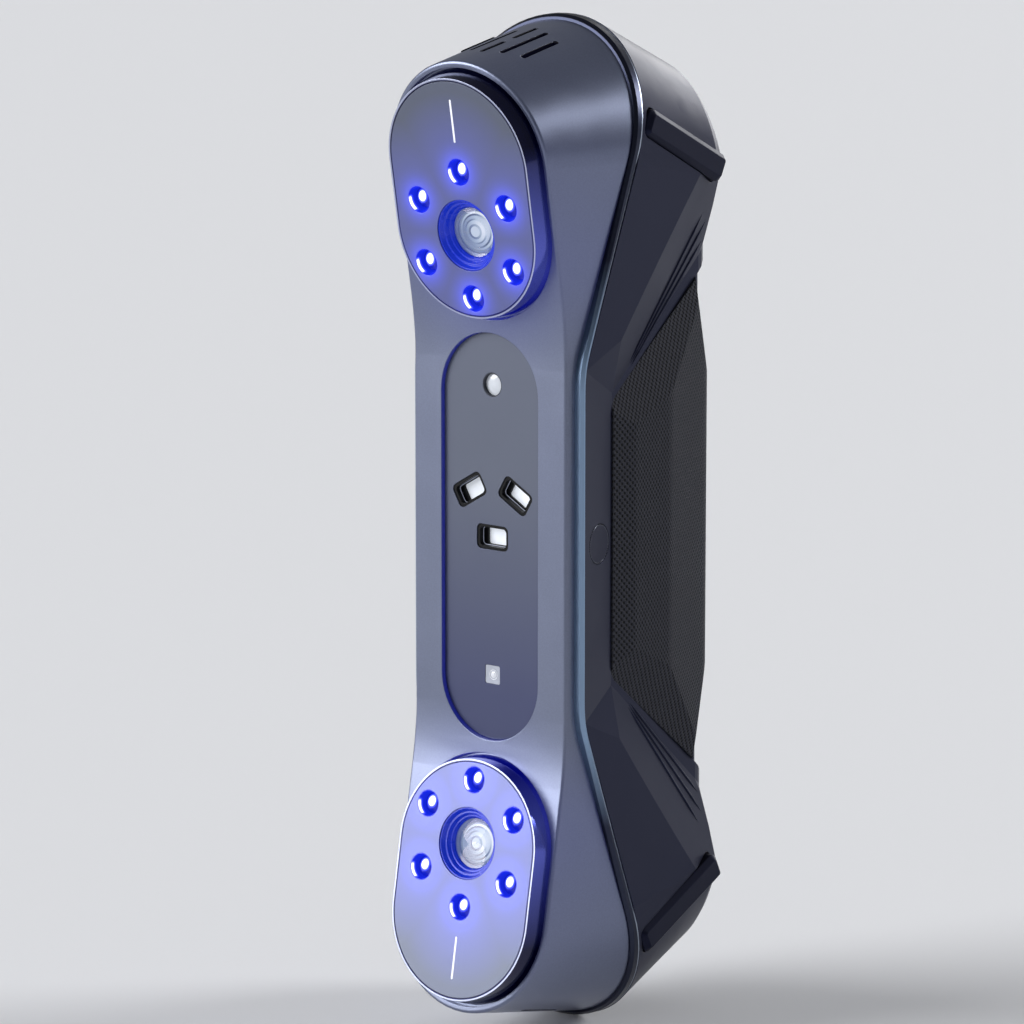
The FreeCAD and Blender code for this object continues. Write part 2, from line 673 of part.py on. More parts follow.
def back_section(depth, inset):
    """Outline of the housing near its back, drawn in by inset all round."""
    (front, near, low), (back, far, high) = PINCH[1:]
    share = (depth - front) / (back - front)
    half = near + share * (far - near) - inset
    tall = low + share * (high - low) + inset * math.tan(math.atan(1 / FACET_RISE) / 2)
    flat, centre = S["end_back_flat"], slope_centre(depth)
    drawn_in = inset * S["top_round_share"]
    a = S["end_back_half"] + (END_DEPTH - depth) * END_GROWTH - flat - drawn_in
    b = slope_top(depth) - centre - drawn_in
    waist, wide, bend, flank_top = flank(depth)
    # The flank cuts the quarter ellipse at a height above its middle, or passes outside it.
    gain = (wide - waist) / (flank_top - bend)
    level = waist + (centre - bend) * gain - flat - inset
    rise, across = 0.0, flat + a
    if level < a:
        square, linear = (gain / a) ** 2 + 1 / b ** 2, gain * level / a ** 2
        rise = (math.sqrt(linear ** 2 - square * ((level / a) ** 2 - 1)) - linear) / square
        across = flat + level + gain * rise
    corner = centre + rise
    start = math.acos(rise / b)
    edges = []
    for way in (1, -1):
        for side, first, last in ((way, -start, 0.0), (-way, 0.0, start)):
            middle = V(side * flat, way * centre, 0)
            ring = Part.Ellipse(middle + V(0, way * b, 0), middle - V(way * a, 0, 0), middle)
            edges.append(Part.ArcOfEllipse(ring, first, last))
            if first:
                edges.append(segment((way * flat, way * (centre + b)), (-way * flat, way * (centre + b))))
        edges.append(segment((-way * across, way * corner), (-way * half, way * tall)))
        edges.append(segment((-way * half, way * tall), (-way * half, -way * tall)))
        edges.append(segment((-way * half, -way * tall), (-way * across, -way * corner)))
    return edges


# The back edge is rounded by lofting through sections that draw in along a quarter circle.
ROUND_STEPS = 5
turn = S["back_plane"] - S["back_round"]
sections = []
for number in range(ROUND_STEPS + 1):
    angle = math.pi / 2 * number / ROUND_STEPS
    depth = turn + S["back_round"] * math.sin(angle)
    inset = S["back_round"] * (1 - math.cos(angle)) - 0.03
    sections.append(sketch("back_section_%d" % number, back_section(depth, inset), FRONT, at(depth)))
back_cap = loft("back_cap", sections)
bulk_outline = sketch("front_bulk_outline", box_outline(2 * WIDE, 2 * REACH, 1.0), FRONT, at(-BEYOND))
front_bulk = extrude("front_bulk", bulk_outline, Y_AXIS, BEYOND + turn)
housing_soft = common("housing_soft", housing_waisted, fuse("housing_limit", front_bulk, back_cap))

# The inside: an end-rounded hollow, narrower at the waist, open towards the shell.
ROOM_WIDENS = (7.85, 19.85)                    # below the middle of the end: fully wide, still narrow
room_narrow = S["housing_flank_wall"] - S["housing_wall"]
room_mouth = sketch("room_mouth", seam_end(S["housing_wall"], room_narrow), SEAM_ROTATION, SEAM_BASE)
room_upper = extrude("room_upper", room_mouth, FALL, REACH, REACH / 3)
room_lower = mirror("room_lower", room_upper, Z_AXIS)
room_end = S["seam_end_radius"] - S["housing_flank_wall"]
room_wide, room_thin = [S["end_middle"] - drop for drop in ROOM_WIDENS]
room_corners = [(room_end, REACH, 0), (room_end, room_wide, 6), (S["room_waist"], room_thin, 6),
                (S["room_waist"], -room_thin, 6), (room_end, -room_wide, 6), (room_end, -REACH, 0)]
room_corners += [(-x, -z, radius) for x, z, radius in room_corners]
room_outline = sketch("room_outline", rounded(list(reversed(room_corners))), FRONT, at(-9))
room_plan = extrude("room_plan", room_outline, Y_AXIS, "9 + sizes.back_plane - sizes.back_wall")
room = common("room", room_upper, room_lower, room_plan)

# Places on the leaning side panels.
PANEL_LEAN = math.atan(PANEL_RATE)


def panel_frame(side):
    """Middle of the side panel at the button's depth, and the way out of it."""
    half = S["seam_waist"] - (S["button_depth"] - S["seam_depth"]) * PANEL_RATE
    out = V(side * math.cos(PANEL_LEAN), math.sin(PANEL_LEAN), 0)
    return V(side * half, S["button_depth"], 0), out


def on_panel(name, side, radius, start, length):
    """Round solid square to a side panel, from start below its surface and length deep."""
    middle, out = panel_frame(side)
    item = bind(doc.addObject("Part::Cylinder", name), Radius=radius, Height=length)
    item.Placement = FreeCAD.Placement(middle - out * start + ORIGIN, FreeCAD.Rotation(Z_AXIS, out * -1))
    return item


BUTTON_SKIN = 2.0                              # wall that stops the button's flange
FLANGE = 1.0
switch_top = BUTTON_SKIN + FLANGE + 0.1 + S["button_travel"] + 0.1
boss_radius = "sizes.button_depth - sizes.seam_depth - 0.1"
button_boss = on_panel("button_boss", 1, boss_radius, 1.5, switch_top + 1.5)
insert_boss = on_panel("insert_boss", -1, boss_radius, 1.5, "sizes.tripod_insert_length - 0.5")

# ---------------------------------------------------------------- grips

GRIP_ROUND = 6.0                               # rounding of a grip's rear corner
FADE_START = 7.7                               # from a grip's front corner up to where that corner fades


def grip_prism(name):
    """Side view of a grip, whose rear corners lie behind the back."""
    front, low = S["grip_front"], S["grip_front_height"]
    behind = S["grip_back"] + 6.0
    high = low + (behind - front) * tangent(S["grip_slant"])
    corners = [(front, low, 3), (behind, high, 0), (behind, -high, 0), (front, -low, 3)]
    return extrude(name, sketch(name + "_outline", rounded(corners), SIDE), X_AXIS, WIDE)


def bed_half(depth):
    """Half width of the surface that carries a grip."""
    (front, near, _), (back, far, _) = PINCH[1:]
    return near + (depth - front) / (back - front) * (far - near) - S["grip_depth"]


def full_height(name, corners):
    """Solid drawn looking down, over the whole length of the scanner."""
    drawn = sketch(name + "_outline", rounded(corners), TOP, V(0, 0, -S["half_height"]))
    return extrude(name, drawn, Z_AXIS, "2 * sizes.half_height")


COVER_GAP = 0.4                                # between a grip and the rear cover
grip_start = S["grip_front"] - 2.0
bed_back = S["back_plane"] - S["grip_back_depth"]
inner = S["cover_half_width"] + COVER_GAP
behind = S["back_plane"] + BEYOND
BED = [(bed_half(S["grip_front"]), grip_start, 0), (bed_half(bed_back), bed_back, 1.5), (inner, bed_back, 0)]
grip_sides = grip_prism("grip_sides")
bed_bulk = full_height("bed_bulk", BED + [(inner, behind, 0), (WIDE, behind, 0), (WIDE, grip_start, 0)])
bed_right = common("bed_right", bed_bulk, grip_sides)
bed_left = mirror("bed_left", bed_right, X_AXIS)

SWELL = (2.1, 5.5, 4.0)                        # the grip's front bead: out, back, rounding
front_half = bed_half(S["grip_front"]) + S["grip_depth"]
grip_corners = BED + [(inner, S["grip_back"], 0.8), (S["grip_corner"], S["grip_back"], GRIP_ROUND),
                      (S["grip_crown"], S["grip_crown_depth"], 8.0),
                      (front_half + SWELL[0], S["grip_front"] + SWELL[1], SWELL[2]),
                      (front_half - 0.25, grip_start, 0)]
grip_bulk = full_height("grip_bulk", grip_corners)
grip_full = common("grip_full", grip_bulk, grip_sides)


def plane_tool(name, point, out, along):
    """Block standing on the plane through point that faces along out."""
    across = along.cross(out)
    corner = point - across * WIDE - along * S["neck_half_height"] + ORIGIN
    item = bind(doc.addObject("Part::Box", name), Length=2 * WIDE, Height=WIDE,
                Width="2 * sizes.neck_half_height")
    item.Placement = FreeCAD.Placement(FreeCAD.Matrix(
        across.x, along.x, out.x, corner.x, across.y, along.y, out.y, corner.y,
        across.z, along.z, out.z, corner.z, 0, 0, 0, 1))
    return item


def slant_tool(name):
    """Bevels a grip along its upper slanted edge."""
    slant, tilt = math.radians(S["grip_slant"]), math.radians(16.7)
    along = V(0, math.cos(slant), math.sin(slant))
    inward = V(0, math.sin(slant), -math.cos(slant)) * math.cos(tilt) + X_AXIS * math.sin(tilt)
    return plane_tool(name, V(front_half - 0.2, S["grip_front"], S["grip_front_height"]),
                      inward.cross(along), along)


def corner_tool(name):
    """Lets the rear corner of a grip fade into the neck above it."""
    tilt, around = math.radians(7.5), math.radians(39.9)
    face = V(math.cos(around), math.sin(around), 0)
    out = face * math.cos(tilt) + Z_AXIS * math.sin(tilt)
    middle = V(S["grip_corner"], S["grip_back"], 0) - V(1, 1, 0) * GRIP_ROUND
    start = Z_AXIS * (S["grip_front_height"] + FADE_START)
    return plane_tool(name, middle + face * GRIP_ROUND + start, out, face.cross(Z_AXIS))


grip_tools = [slant_tool("slant_upper"), corner_tool("corner_upper")]
grip_tools += [mirror(tool.Name.replace("upper", "lower"), tool, Z_AXIS) for tool in grip_tools]
grip_right = node("grip_right", cut("grip_right_solid", grip_full, *grip_tools))
node("grip_left", mirror("grip_left_solid", grip_right, X_AXIS))

# ---------------------------------------------------------------- bumper bars

def bar(name, grow, length):
    """Upper right bar or the recess it sits in, drawn from the floor of the recess outwards."""
    slope = math.radians(S["bumper_fall"])
    middle = S["bumper_length"] / 2 - 1.5
    height = S["half_height"] - S["bumper_drop"]
    centre = (S["bumper_start"] + middle * math.cos(slope), height - middle * math.sin(slope))
    outline = box_outline(S["bumper_length"] + 2 * grow, S["bumper_width"] + 2 * grow, 1.6,
                          -S["bumper_fall"], centre)
    drawn = sketch(name + "_outline", outline, SIDE, V(S["bumper_floor"], 0, 0))
    return extrude(name, drawn, X_AXIS, length)


bar_solid = bar("bar_solid", 0.0, "sizes.bumper_seat")
bar_soft = soften("Part::Chamfer", "bar_soft", bar_solid, 1.1,
                  lambda edge: all(abs(v.X - S["bumper_face"]) < 0.01 for v in edge.Vertexes))
bar_recess = bar("bar_recess", 0.25, "sizes.bumper_seat + 4")
lower_bar = mirror("lower_bar", bar_soft, Z_AXIS)
node("bumper_upper_right", bar_soft)
node("bumper_lower_right", lower_bar)
node("bumper_upper_left", mirror("upper_left_bar", bar_soft, X_AXIS))
node("bumper_lower_left", mirror("lower_left_bar", lower_bar, X_AXIS))
lower_recess = mirror("lower_recess", bar_recess, Z_AXIS)
recesses = [bar_recess, lower_recess, mirror("upper_left_recess", bar_recess, X_AXIS),
            mirror("lower_left_recess", lower_recess, X_AXIS)]

# ---------------------------------------------------------------- rear cover and its screws

cover_w, cover_h, cover_t = S["cover_half_width"], S["cover_half_height"], S["cover_thick"]
cover_front = S["back_plane"] - cover_t


def at_back(name, outline, start, length):
    return extrude(name, sketch(name + "_outline", outline, FRONT, at(start)), Y_AXIS, length)


cover_blank = at_back("cover_blank", box_outline(2 * cover_w, 2 * cover_h, 3.0), cover_front,
                      "sizes.cover_thick")
cover_seat = at_back("cover_seat", box_outline(2 * cover_w + 0.4, 2 * cover_h + 0.4, 3.2), cover_front, 6.0)
cover_opening = at_back("cover_opening", box_outline(2 * cover_w - 5, 2 * cover_h - 20, 3.0),
                        cover_front - 8.0, 12.0)
COVER_SCREWS = [(x * (cover_w - 3.2), z * (cover_h - 4.0)) for x in (1, -1) for z in (1, -1)]


HEAD = 1.1                                     # height of a screw's head
SHANK_SHARE = 0.52                             # shank of a screw as a share of its head
CROSS = (2.0, 0.45)                            # arms of the cross recess


def screw(name, centre, head_top, length):
    """Pan-head screw along Y with a cross recess; its head is at head_top."""
    turned = FreeCAD.Rotation(Z_AXIS, Y_AXIS)
    place = V(centre[0], head_top, centre[1]) + ORIGIN
    head = bind(doc.addObject("Part::Cylinder", name + "_head"), Height=HEAD,
                Radius="sizes.screw_head_radius")
    head.Placement = FreeCAD.Placement(place - Y_AXIS * HEAD, turned)
    body = bind(doc.addObject("Part::Cylinder", name + "_shank"),
                Radius="sizes.screw_head_radius * %s" % SHANK_SHARE, Height=length)
    body.Placement = FreeCAD.Placement(place - Y_AXIS * (HEAD + length), turned)
    arms = []
    for number, (wide, tall) in enumerate((CROSS, CROSS[::-1])):
        arm = doc.addObject("Part::Box", "%s_arm_%d" % (name, number))
        arm.Length, arm.Width, arm.Height = wide, tall, 1.0
        corner = turned.multVec(V(wide / 2, tall / 2, 0))
        arm.Placement = FreeCAD.Placement(place - Y_AXIS * 0.6 - corner, turned)
        arms.append(arm)
    return cut(name, fuse(name + "_blank", head, body), *arms)


cover_screws, cover_holes, cover_pilots = [], [], []
for number, (x, z) in enumerate(COVER_SCREWS, start=1):
    cover_screws.append(screw("cover_screw_%d" % number, (x, z), S["back_plane"] - 0.1, 2.6))
    hole = circle(S["screw_head_radius"] + 0.15, (x, z))
    cover_holes.append(at_back("cover_counterbore_%d" % number, hole, S["back_plane"] - 1.2, 3.0))
    cover_holes.append(at_back("cover_hole_%d" % number, circle(S["screw_head_radius"] * 0.6, (x, z)),
                               cover_front - 1.0, 5.0))
    pilot = circle(S["screw_head_radius"] * SHANK_SHARE, (x, z))
    cover_pilots.append(at_back("cover_pilot_%d" % number, pilot, cover_front - 2.1, 3.0))
node("rear_cover", cut("rear_cover_solid", cover_blank, *cover_holes))
node("rear_cover_screws", group("rear_cover_screws_solid", cover_screws))

# ---------------------------------------------------------------- inlet, insert and button

INLET_DEPTH = S["main_board_depth"] + S["main_board_thick"] + 1.6
inlet_bottom = 1.2 - slope_top(INLET_DEPTH)


def at_bottom(name, outline, start, length):
    """Solid drawn across the height, from start upwards."""
    return extrude(name, sketch(name + "_outline", outline, TOP, V(0, INLET_DEPTH, start)), Z_AXIS, length)


inlet_slot = at_bottom("inlet_slot", box_outline(9.3, 3.5, 1.7), inlet_bottom - 8.1, 14.0)
inlet_shell = at_bottom("inlet_shell", box_outline(8.94, 3.16, 1.5), inlet_bottom, 7.4)
inlet_mouth = at_bottom("inlet_mouth", box_outline(8.34, 2.56, 1.25), inlet_bottom - 1, 7.0)
inlet_tongue = at_bottom("inlet_tongue", box_outline(6.7, 0.7, 0.2), inlet_bottom + 0.8, 6.2)
node("usb_inlet", fuse("usb_inlet_solid", cut("inlet_case", inlet_shell, inlet_mouth), inlet_tongue))

insert_radius, insert_length = "sizes.tripod_insert_radius", "sizes.tripod_insert_length"
insert_hole = on_panel("insert_hole", -1, insert_radius, -2.0, insert_length + " + 2.1")
insert_body = on_panel("insert_body", -1, insert_radius, 0.1, insert_length)
insert_bore = on_panel("insert_bore", -1, "sizes.tripod_minor_radius", -1.0, insert_length)
node("tripod_insert", cut("tripod_insert_solid", insert_body, insert_bore))

flange_radius = "sizes.button_radius + 0.85"
well_radius = "sizes.button_radius + 1.05"
hole_radius = "sizes.button_radius + sizes.button_clearance"
button_hole = on_panel("button_hole", 1, hole_radius, -1.0, BUTTON_SKIN + 1.1)
button_well = on_panel("button_well", 1, well_radius, BUTTON_SKIN, 8.0)
button_cap = on_panel("button_cap", 1, "sizes.button_radius", 0.0, BUTTON_SKIN + 0.6)
button_flange = on_panel("button_flange", 1, flange_radius, BUTTON_SKIN + 0.1, FLANGE)
node("side_button", fuse("side_button_solid", button_cap, button_flange))
switch_disc = on_panel("switch_disc", 1, well_radius, switch_top + 1.3, 1.0)
switch_body = on_panel("switch_body", 1, 1.7, switch_top, 1.5)
node("button_switch", fuse("button_switch_solid", switch_disc, switch_body))

housing_hollow = cut("housing_hollow", housing_soft, room)
housing_bossed = fuse("housing_bossed", housing_hollow, button_boss, insert_boss)
node("rear_housing", cut("rear_housing_solid", housing_bossed, bed_right, bed_left, *recesses,
                         cover_seat, cover_opening, *cover_pilots, inlet_slot, insert_hole,
                         button_hole, button_well))

# ---------------------------------------------------------------- camera pods

LENS_EDGE = 2.6                                # thickness of the front lens at its edge

for tag, side in (("upper", 1), ("lower", -1)):
    depth, margin = S["pod_depth"], S["plate_margin"]
    flare = math.degrees(math.atan(S["pod_flare"] / depth))
    blank = in_pod(tag + "_pod_blank", side, pod_outline(side), 0.0, "sizes.pod_depth", flare)
    seat = in_pod(tag + "_plate_seat", side, pod_outline(side, 0.1 - margin), -1.0, "1 + sizes.plate_thick")
    lamps = []
    for number in range(int(S["led_count"])):
        angle = math.radians(90 + number * 360 / S["led_count"])
        lamps.append((S["led_ring"] * math.cos(angle), S["led_ring"] * math.sin(angle)))
    openings = [in_pod("%s_lamp_hole_%d" % (tag, n), side, circle(S["led_hole"], spot), -1.0, 9.0)
                for n, spot in enumerate(lamps, start=1)]
    bore = in_pod(tag + "_lens_bore", side, circle(S["lens_bore"]), -1.0, 9.0)
    node(tag + "_pod_body", cut(tag + "_pod_body_solid", blank, seat, bore, *openings))
    plate = in_pod(tag + "_plate_blank", side, pod_outline(side, -margin), 0.0, "sizes.plate_thick")
    node(tag + "_pod_plate", cut(tag + "_pod_plate_solid", plate, bore, *openings))

    # Lens barrel: a turned tube with a stepped funnel in front of the lens.
    place = pod_place(side)
    outer, front_end = S["lens_bore"] - 0.05, 0.25
    back_end = front_end + S["barrel_length"]
    seat_radius, seat_end = S["lens_radius"] + 0.05, S["lens_depth"] + LENS_EDGE
    steps = [(outer, front_end), (outer - 0.3, front_end), (outer - 0.8, 1.1), (outer - 1.2, 1.1),
             (outer - 1.6, 1.9), (outer - 1.9, 1.9), (seat_radius, S["lens_depth"] - 0.2),
             (seat_radius, seat_end), (seat_radius - 0.95, seat_end), (seat_radius - 0.95, back_end),
             (outer, back_end)]
    wall = rounded([(r, -z, 0) for r, z in steps])
    turned = sketch(tag + "_barrel_profile", wall, place.Rotation * FreeCAD.Rotation(X_AXIS, 90), place.Base)
    node(tag + "_lens_barrel", revolve(tag + "_barrel_solid", turned, place.Base,
                                       place.Rotation.multVec(Z_AXIS)))
    radius, rise = S["lens_radius"], S["lens_rise"]
    glass = in_pod(tag + "_lens_blank", side, circle(radius), S["lens_depth"] - rise,
                   "sizes.lens_rise + %s" % LENS_EDGE)
    curve = (radius ** 2 + rise ** 2) / (2 * rise)
    ball = bind(doc.addObject("Part::Sphere", tag + "_lens_curve"),
                Radius="(sizes.lens_radius ^ 2 + sizes.lens_rise ^ 2) / (2 * sizes.lens_rise)")
    ball.Placement = FreeCAD.Placement(place.multVec(V(0, 0, rise - S["lens_depth"] - curve)) + ORIGIN, TOP)
    node(tag + "_camera_lens", common(tag + "_camera_lens_solid", glass, ball))

    board = in_pod(tag + "_board_blank", side, pod_outline(side, -2.0), depth, "sizes.board_thick")
    barrel_way = in_pod(tag + "_barrel_way", side, circle(S["lens_bore"] + 0.3), depth - 1, 4.0)
    node(tag + "_lamp_board", cut(tag + "_lamp_board_solid", board, barrel_way))
    emitters = []
    for number, spot in enumerate(lamps, start=1):
        outline = box_outline(S["led_size"], S["led_size"], 0.3, 0.0, spot)
        emitters.append(in_pod("%s_lamp_%d" % (tag, number), side, outline, depth - S["led_height"],
                               "sizes.led_height"))
    node(tag + "_lamps", group(tag + "_lamps_solid", emitters))
    block = box_outline(S["module_size"], S["module_size"], 1.5)
    node(tag + "_camera_module", in_pod(tag + "_module_block", side, block, back_end, "sizes.module_length"))

# ---------------------------------------------------------------- centre plate and what shows in it

plate_front = S["centre_recess"]
plate_back = plate_front + S["centre_thick"]


def from_front(name, outline, start, length):
    return extrude(name, sketch(name + "_outline", outline, FRONT, at(start)), Y_AXIS, length)


EMITTER = (0.0, S["centre_half_height"] - S["emitter_inset"])
COLOUR_CAMERA = (0.0, S["colour_inset"] - S["centre_half_height"])
LASERS = [("left", (-S["laser_spread"], S["laser_rise"]), S["laser_turn"]),
          ("right", (S["laser_spread"], S["laser_rise"]), -S["laser_turn"]),
          ("lower", (0.0, -0.1), 0.0)]
laser_w, laser_h = S["laser_width"], S["laser_height"]
plate_blank = from_front("plate_blank", stadium(S["centre_radius"] - 0.1, 0.1 - S["centre_half_height"],
                                                S["centre_half_height"] - 0.1), plate_front,
                         "sizes.centre_thick")
colour_hole = S["colour_size"] + 0.1
plate_tools = [from_front("emitter_hole", circle(S["emitter_radius"] + 0.05, EMITTER), -1, 5),
               from_front("camera_hole", box_outline(colour_hole, colour_hole, 0.4, 0, COLOUR_CAMERA), -1, 5)]
for name, centre, turned in LASERS:
    hole = box_outline(laser_w, laser_h, 1.2, turned, centre)
    plate_tools.append(from_front("laser_hole_" + name, hole, -1, 5))
node("centre_plate", cut("centre_plate_solid", plate_blank, *plate_tools))

bench_front = S["bench_front"]
BEHIND_PLATE = "sizes.bench_front - sizes.centre_recess - %s"
step = S["laser_step"]
for name, centre, turned in LASERS:
    body = from_front(name + "_laser_body", box_outline(laser_w - 0.1, laser_h - 0.1, 1.15, turned, centre),
                      plate_front + 0.2, BEHIND_PLATE % 0.2)
    mouth = box_outline(laser_w - 0.1 - 2 * step, laser_h - 0.1 - 2 * step, 0.9, turned, centre)
    inner = box_outline(laser_w - 2.3 - 2 * step, laser_h - 0.6 - 2 * step, 0.5, turned, centre)
    funnel = from_front(name + "_laser_funnel", mouth, 0.0, plate_front + 1.7)
    deep = from_front(name + "_laser_deep", inner, 0.0, plate_front + 4.0)
    window = from_front(name + "_laser_window", inner, plate_front + 2.2, 1.8)
    node("laser_module_" + name, cut(name + "_laser_solid", body, funnel, deep))
    node("laser_window_" + name, window)

emitter_lens = circle(S["emitter_radius"], EMITTER)
node("pattern_lens", from_front("pattern_lens_solid", emitter_lens, plate_front + 0.1, 1.6))
node("pattern_projector", from_front("projector_solid", circle(S["emitter_radius"] + 1.7, EMITTER),
                                     plate_front + 1.7, BEHIND_PLATE % 1.7))
colour_window = box_outline(S["colour_size"], S["colour_size"], 0.4, 0, COLOUR_CAMERA)
colour_body = box_outline(S["colour_size"] + 4.6, S["colour_size"] + 4.6, 0.8, 0, COLOUR_CAMERA)
node("colour_camera_window", from_front("camera_window_solid", colour_window, plate_front + 0.1, 1.5))
node("colour_camera", from_front("colour_camera_solid", colour_body, plate_front + 1.6, BEHIND_PLATE % 1.6))

# ---------------------------------------------------------------- bench and boards

bench_back = bench_front + S["bench_thick"]
half_width, half_tall = S["bench_half_width"], S["bench_half_height"]
bench = from_front("bench_blank", box_outline(2 * half_width, 2 * half_tall, 4.0), bench_front,
                   "sizes.bench_thick")
POST_INSET = (3.0, 10.5)                       # from the bench's edges in to its posts: across, along
post_x, post_z = half_width - POST_INSET[0], half_tall - POST_INSET[1]
# The posts end behind the lamp boards' edges, clear of the bent wall.
post_front = leaning(S["front_wall"], S["toe_bend"], -S["toe_in"], post_z) + 1.6
shank = S["screw_head_radius"] * SHANK_SHARE + 0.012
posts, post_holes, bench_screws = [], [], []
for number, (x, z) in enumerate([(x * post_x, z * post_z) for x in (1, -1) for z in (1, -1)], start=1):
    posts.append(from_front("post_%d" % number, circle(S["post_radius"], (x, z)), post_front,
                            bench_front - post_front))
    post_holes.append(from_front("post_hole_%d" % number, circle(shank, (x, z)), bench_back - 7.0, 9.0))
    bench_screws.append(screw("bench_screw_%d" % number, (x, z), bench_back + HEAD, 6.5))
cable_way = box_outline(10.0, 24.0, 2.0, 0, (0, 6.0 - half_tall))
window = from_front("bench_window", cable_way, bench_front - 1, "sizes.bench_thick + 3")
node("optical_bench", cut("optical_bench_solid", fuse("bench_posts", bench, *posts), *post_holes, window))
node("bench_screws", group("bench_screws_solid", bench_screws))

# Main board on the bench: four spacers carry it, its lower end reaches the inlet.
board_front, board_top = S["main_board_depth"], S["main_board_top"]
board_back = board_front + S["main_board_thick"]
board_low, board_half = inlet_bottom + 6.9, S["room_waist"] - 2.2
tail_half, tail = board_half - 3.0, board_low + 17.0
board_outline = rounded([(-tail_half, board_low, 2), (tail_half, board_low, 2), (board_half, tail, 2),
                         (board_half, board_top, 2), (-board_half, board_top, 2), (-board_half, tail, 2)])
main_board = from_front("main_board_blank", board_outline, board_front, "sizes.main_board_thick")
spacers = []
for number, spot in enumerate([(x * 8.0, z * (board_top - 4.0)) for x in (1, -1) for z in (1, -1)], start=1):
    spacers.append(from_front("spacer_%d" % number, circle(2.4, spot), bench_back, board_front - bench_back))
CHIPS = [((0, 12), (16, 16), 1.8), ((-6, -22), (9, 12), 1.2), ((7, -22), (7, 7), 1.2),
         ((0, -60), (10, 10), 1.5)]
chips = []
for number, (spot, (wide, tall), high) in enumerate(CHIPS, start=1):
    chips.append(from_front("chip_%d" % number, box_outline(wide, tall, 0.3, 0, spot), board_back, high))
node("board_spacers", group("board_spacers_solid", spacers))
node("main_board", fuse("main_board_solid", main_board, *chips))

# ---------------------------------------------------------------- checks and export

doc.recompute()
for item in doc.Objects:
    if "Invalid" in item.State or "Error" in item.State:
        raise RuntimeError("%s is %s" % (item.Name, item.State))
for name, item in NODES.items():
    shape = item.Shape
    if shape.isNull() or not shape.isValid() or not shape.Solids:
        raise RuntimeError("%s has no valid solid" % name)
    shape.exportStep("parts/%s.step" % name)
    print(name, len(shape.Solids), "solids", round(shape.Volume), "mm3")
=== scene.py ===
import math

import bmesh
import bpy
from mathutils import Matrix, Vector
from mathutils.bvhtree import BVHTree


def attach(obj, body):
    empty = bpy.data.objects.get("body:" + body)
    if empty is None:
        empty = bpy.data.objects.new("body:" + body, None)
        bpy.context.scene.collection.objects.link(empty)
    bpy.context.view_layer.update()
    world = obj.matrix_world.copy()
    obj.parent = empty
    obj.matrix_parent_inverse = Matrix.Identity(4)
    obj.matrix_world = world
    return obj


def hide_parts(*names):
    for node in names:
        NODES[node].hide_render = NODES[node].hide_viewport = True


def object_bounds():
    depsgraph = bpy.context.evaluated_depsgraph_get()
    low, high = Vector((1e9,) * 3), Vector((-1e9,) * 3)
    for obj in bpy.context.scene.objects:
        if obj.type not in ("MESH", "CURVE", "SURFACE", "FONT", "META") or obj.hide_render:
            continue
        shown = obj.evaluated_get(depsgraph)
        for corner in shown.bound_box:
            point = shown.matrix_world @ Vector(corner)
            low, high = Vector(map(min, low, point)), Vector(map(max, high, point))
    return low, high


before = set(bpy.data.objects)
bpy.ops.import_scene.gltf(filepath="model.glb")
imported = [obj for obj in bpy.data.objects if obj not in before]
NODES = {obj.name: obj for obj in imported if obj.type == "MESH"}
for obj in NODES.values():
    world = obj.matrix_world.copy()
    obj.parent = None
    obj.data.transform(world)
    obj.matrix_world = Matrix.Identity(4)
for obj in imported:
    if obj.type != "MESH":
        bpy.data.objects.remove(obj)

bl_info = {
    "name": "Hand scanner dressing",
    "version": (1, 0, 0),
    "blender": (4, 5, 0),
    "location": "3D View > Sidebar > Scanner",
    "description": "Finishes and small pieces of a hand-held 3D scanner on its CAD frame",
    "category": "Object",
}

# The scanner stands upright: X runs across it, Y from the cameras to the hand, Z up its length.
# Named sizes and places are in millimetres.
MM = 0.001
for startup in ("Cube", "Camera", "Light"):
    if startup in bpy.data.objects:
        bpy.data.objects.remove(bpy.data.objects[startup])
bpy.context.view_layer.update()
CAD_BOX = [list(corner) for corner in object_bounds()]

# ---------------------------------------------------------------- places taken from the CAD part

ENDS = (("upper", 1), ("lower", -1))
POD_DEPTH = -25.8  # middle of a pod's face plate, on its camera axis
POD_HEIGHT = 64.24
POD_TOE = math.radians(10.0)
POD_RADIUS = 18.5  # round ends of a pod, and how far their centres are from the camera
POD_ENDS = (0.7, 14.8)
CENTRE_RADIUS = 13.17  # the same of the recess in the middle
CENTRE_END = 30.13
PLATE_FACE = -17.4  # centre plate, and what stands on it
EMITTER_HEIGHT = 32.2
COLOUR_HEIGHT = -29.4
LASERS = {"left": (-6.2, 9.4, 30.0), "right": (6.2, 9.4, -30.0), "lower": (0.0, -0.1, 0.0)}
LASER_MOUTH = -16.15
SEAM_DEPTH = -15.0  # seam behind the trim band, its bend and its tilt
SEAM_BEND = 37.0
SEAM_SLOPE = math.tan(math.radians(17.3))
VENT_DEPTH = -12.0  # middle of the cooling slots; rows (place, from, to) and their pitch
VENT_PITCH = 4.1
VENT_ROWS = [(-2, -5.75, 5.75), (-1, -7.5, 7.5), (0, -9.1, -1.3), (0, 1.3, 9.1), (1, -7.5, 7.5),
             (2, -5.75, 5.75)]
VENT_FIELD = (9.5, 9.7, 95.0)  # half width, half depth and lower end of the space that they take
PANEL_LEAN = math.atan(2.1 / 11.3)  # how much the side panels come in towards the back
PANEL_HALF = 21.894  # half width at the button
PANEL_DEPTH = -9.05
GRIP_CORNER = (-3.7, 29.3)  # front end of the grips' slanted edges: depth, height
BACK = 31.0  # flat back of the housing
COVER_SCREWS = (7.4, 43.0)  # half distances between the screws, across and up
BENCH_SCREWS = (11.0, 47.5)
BENCH_FACE = -0.35


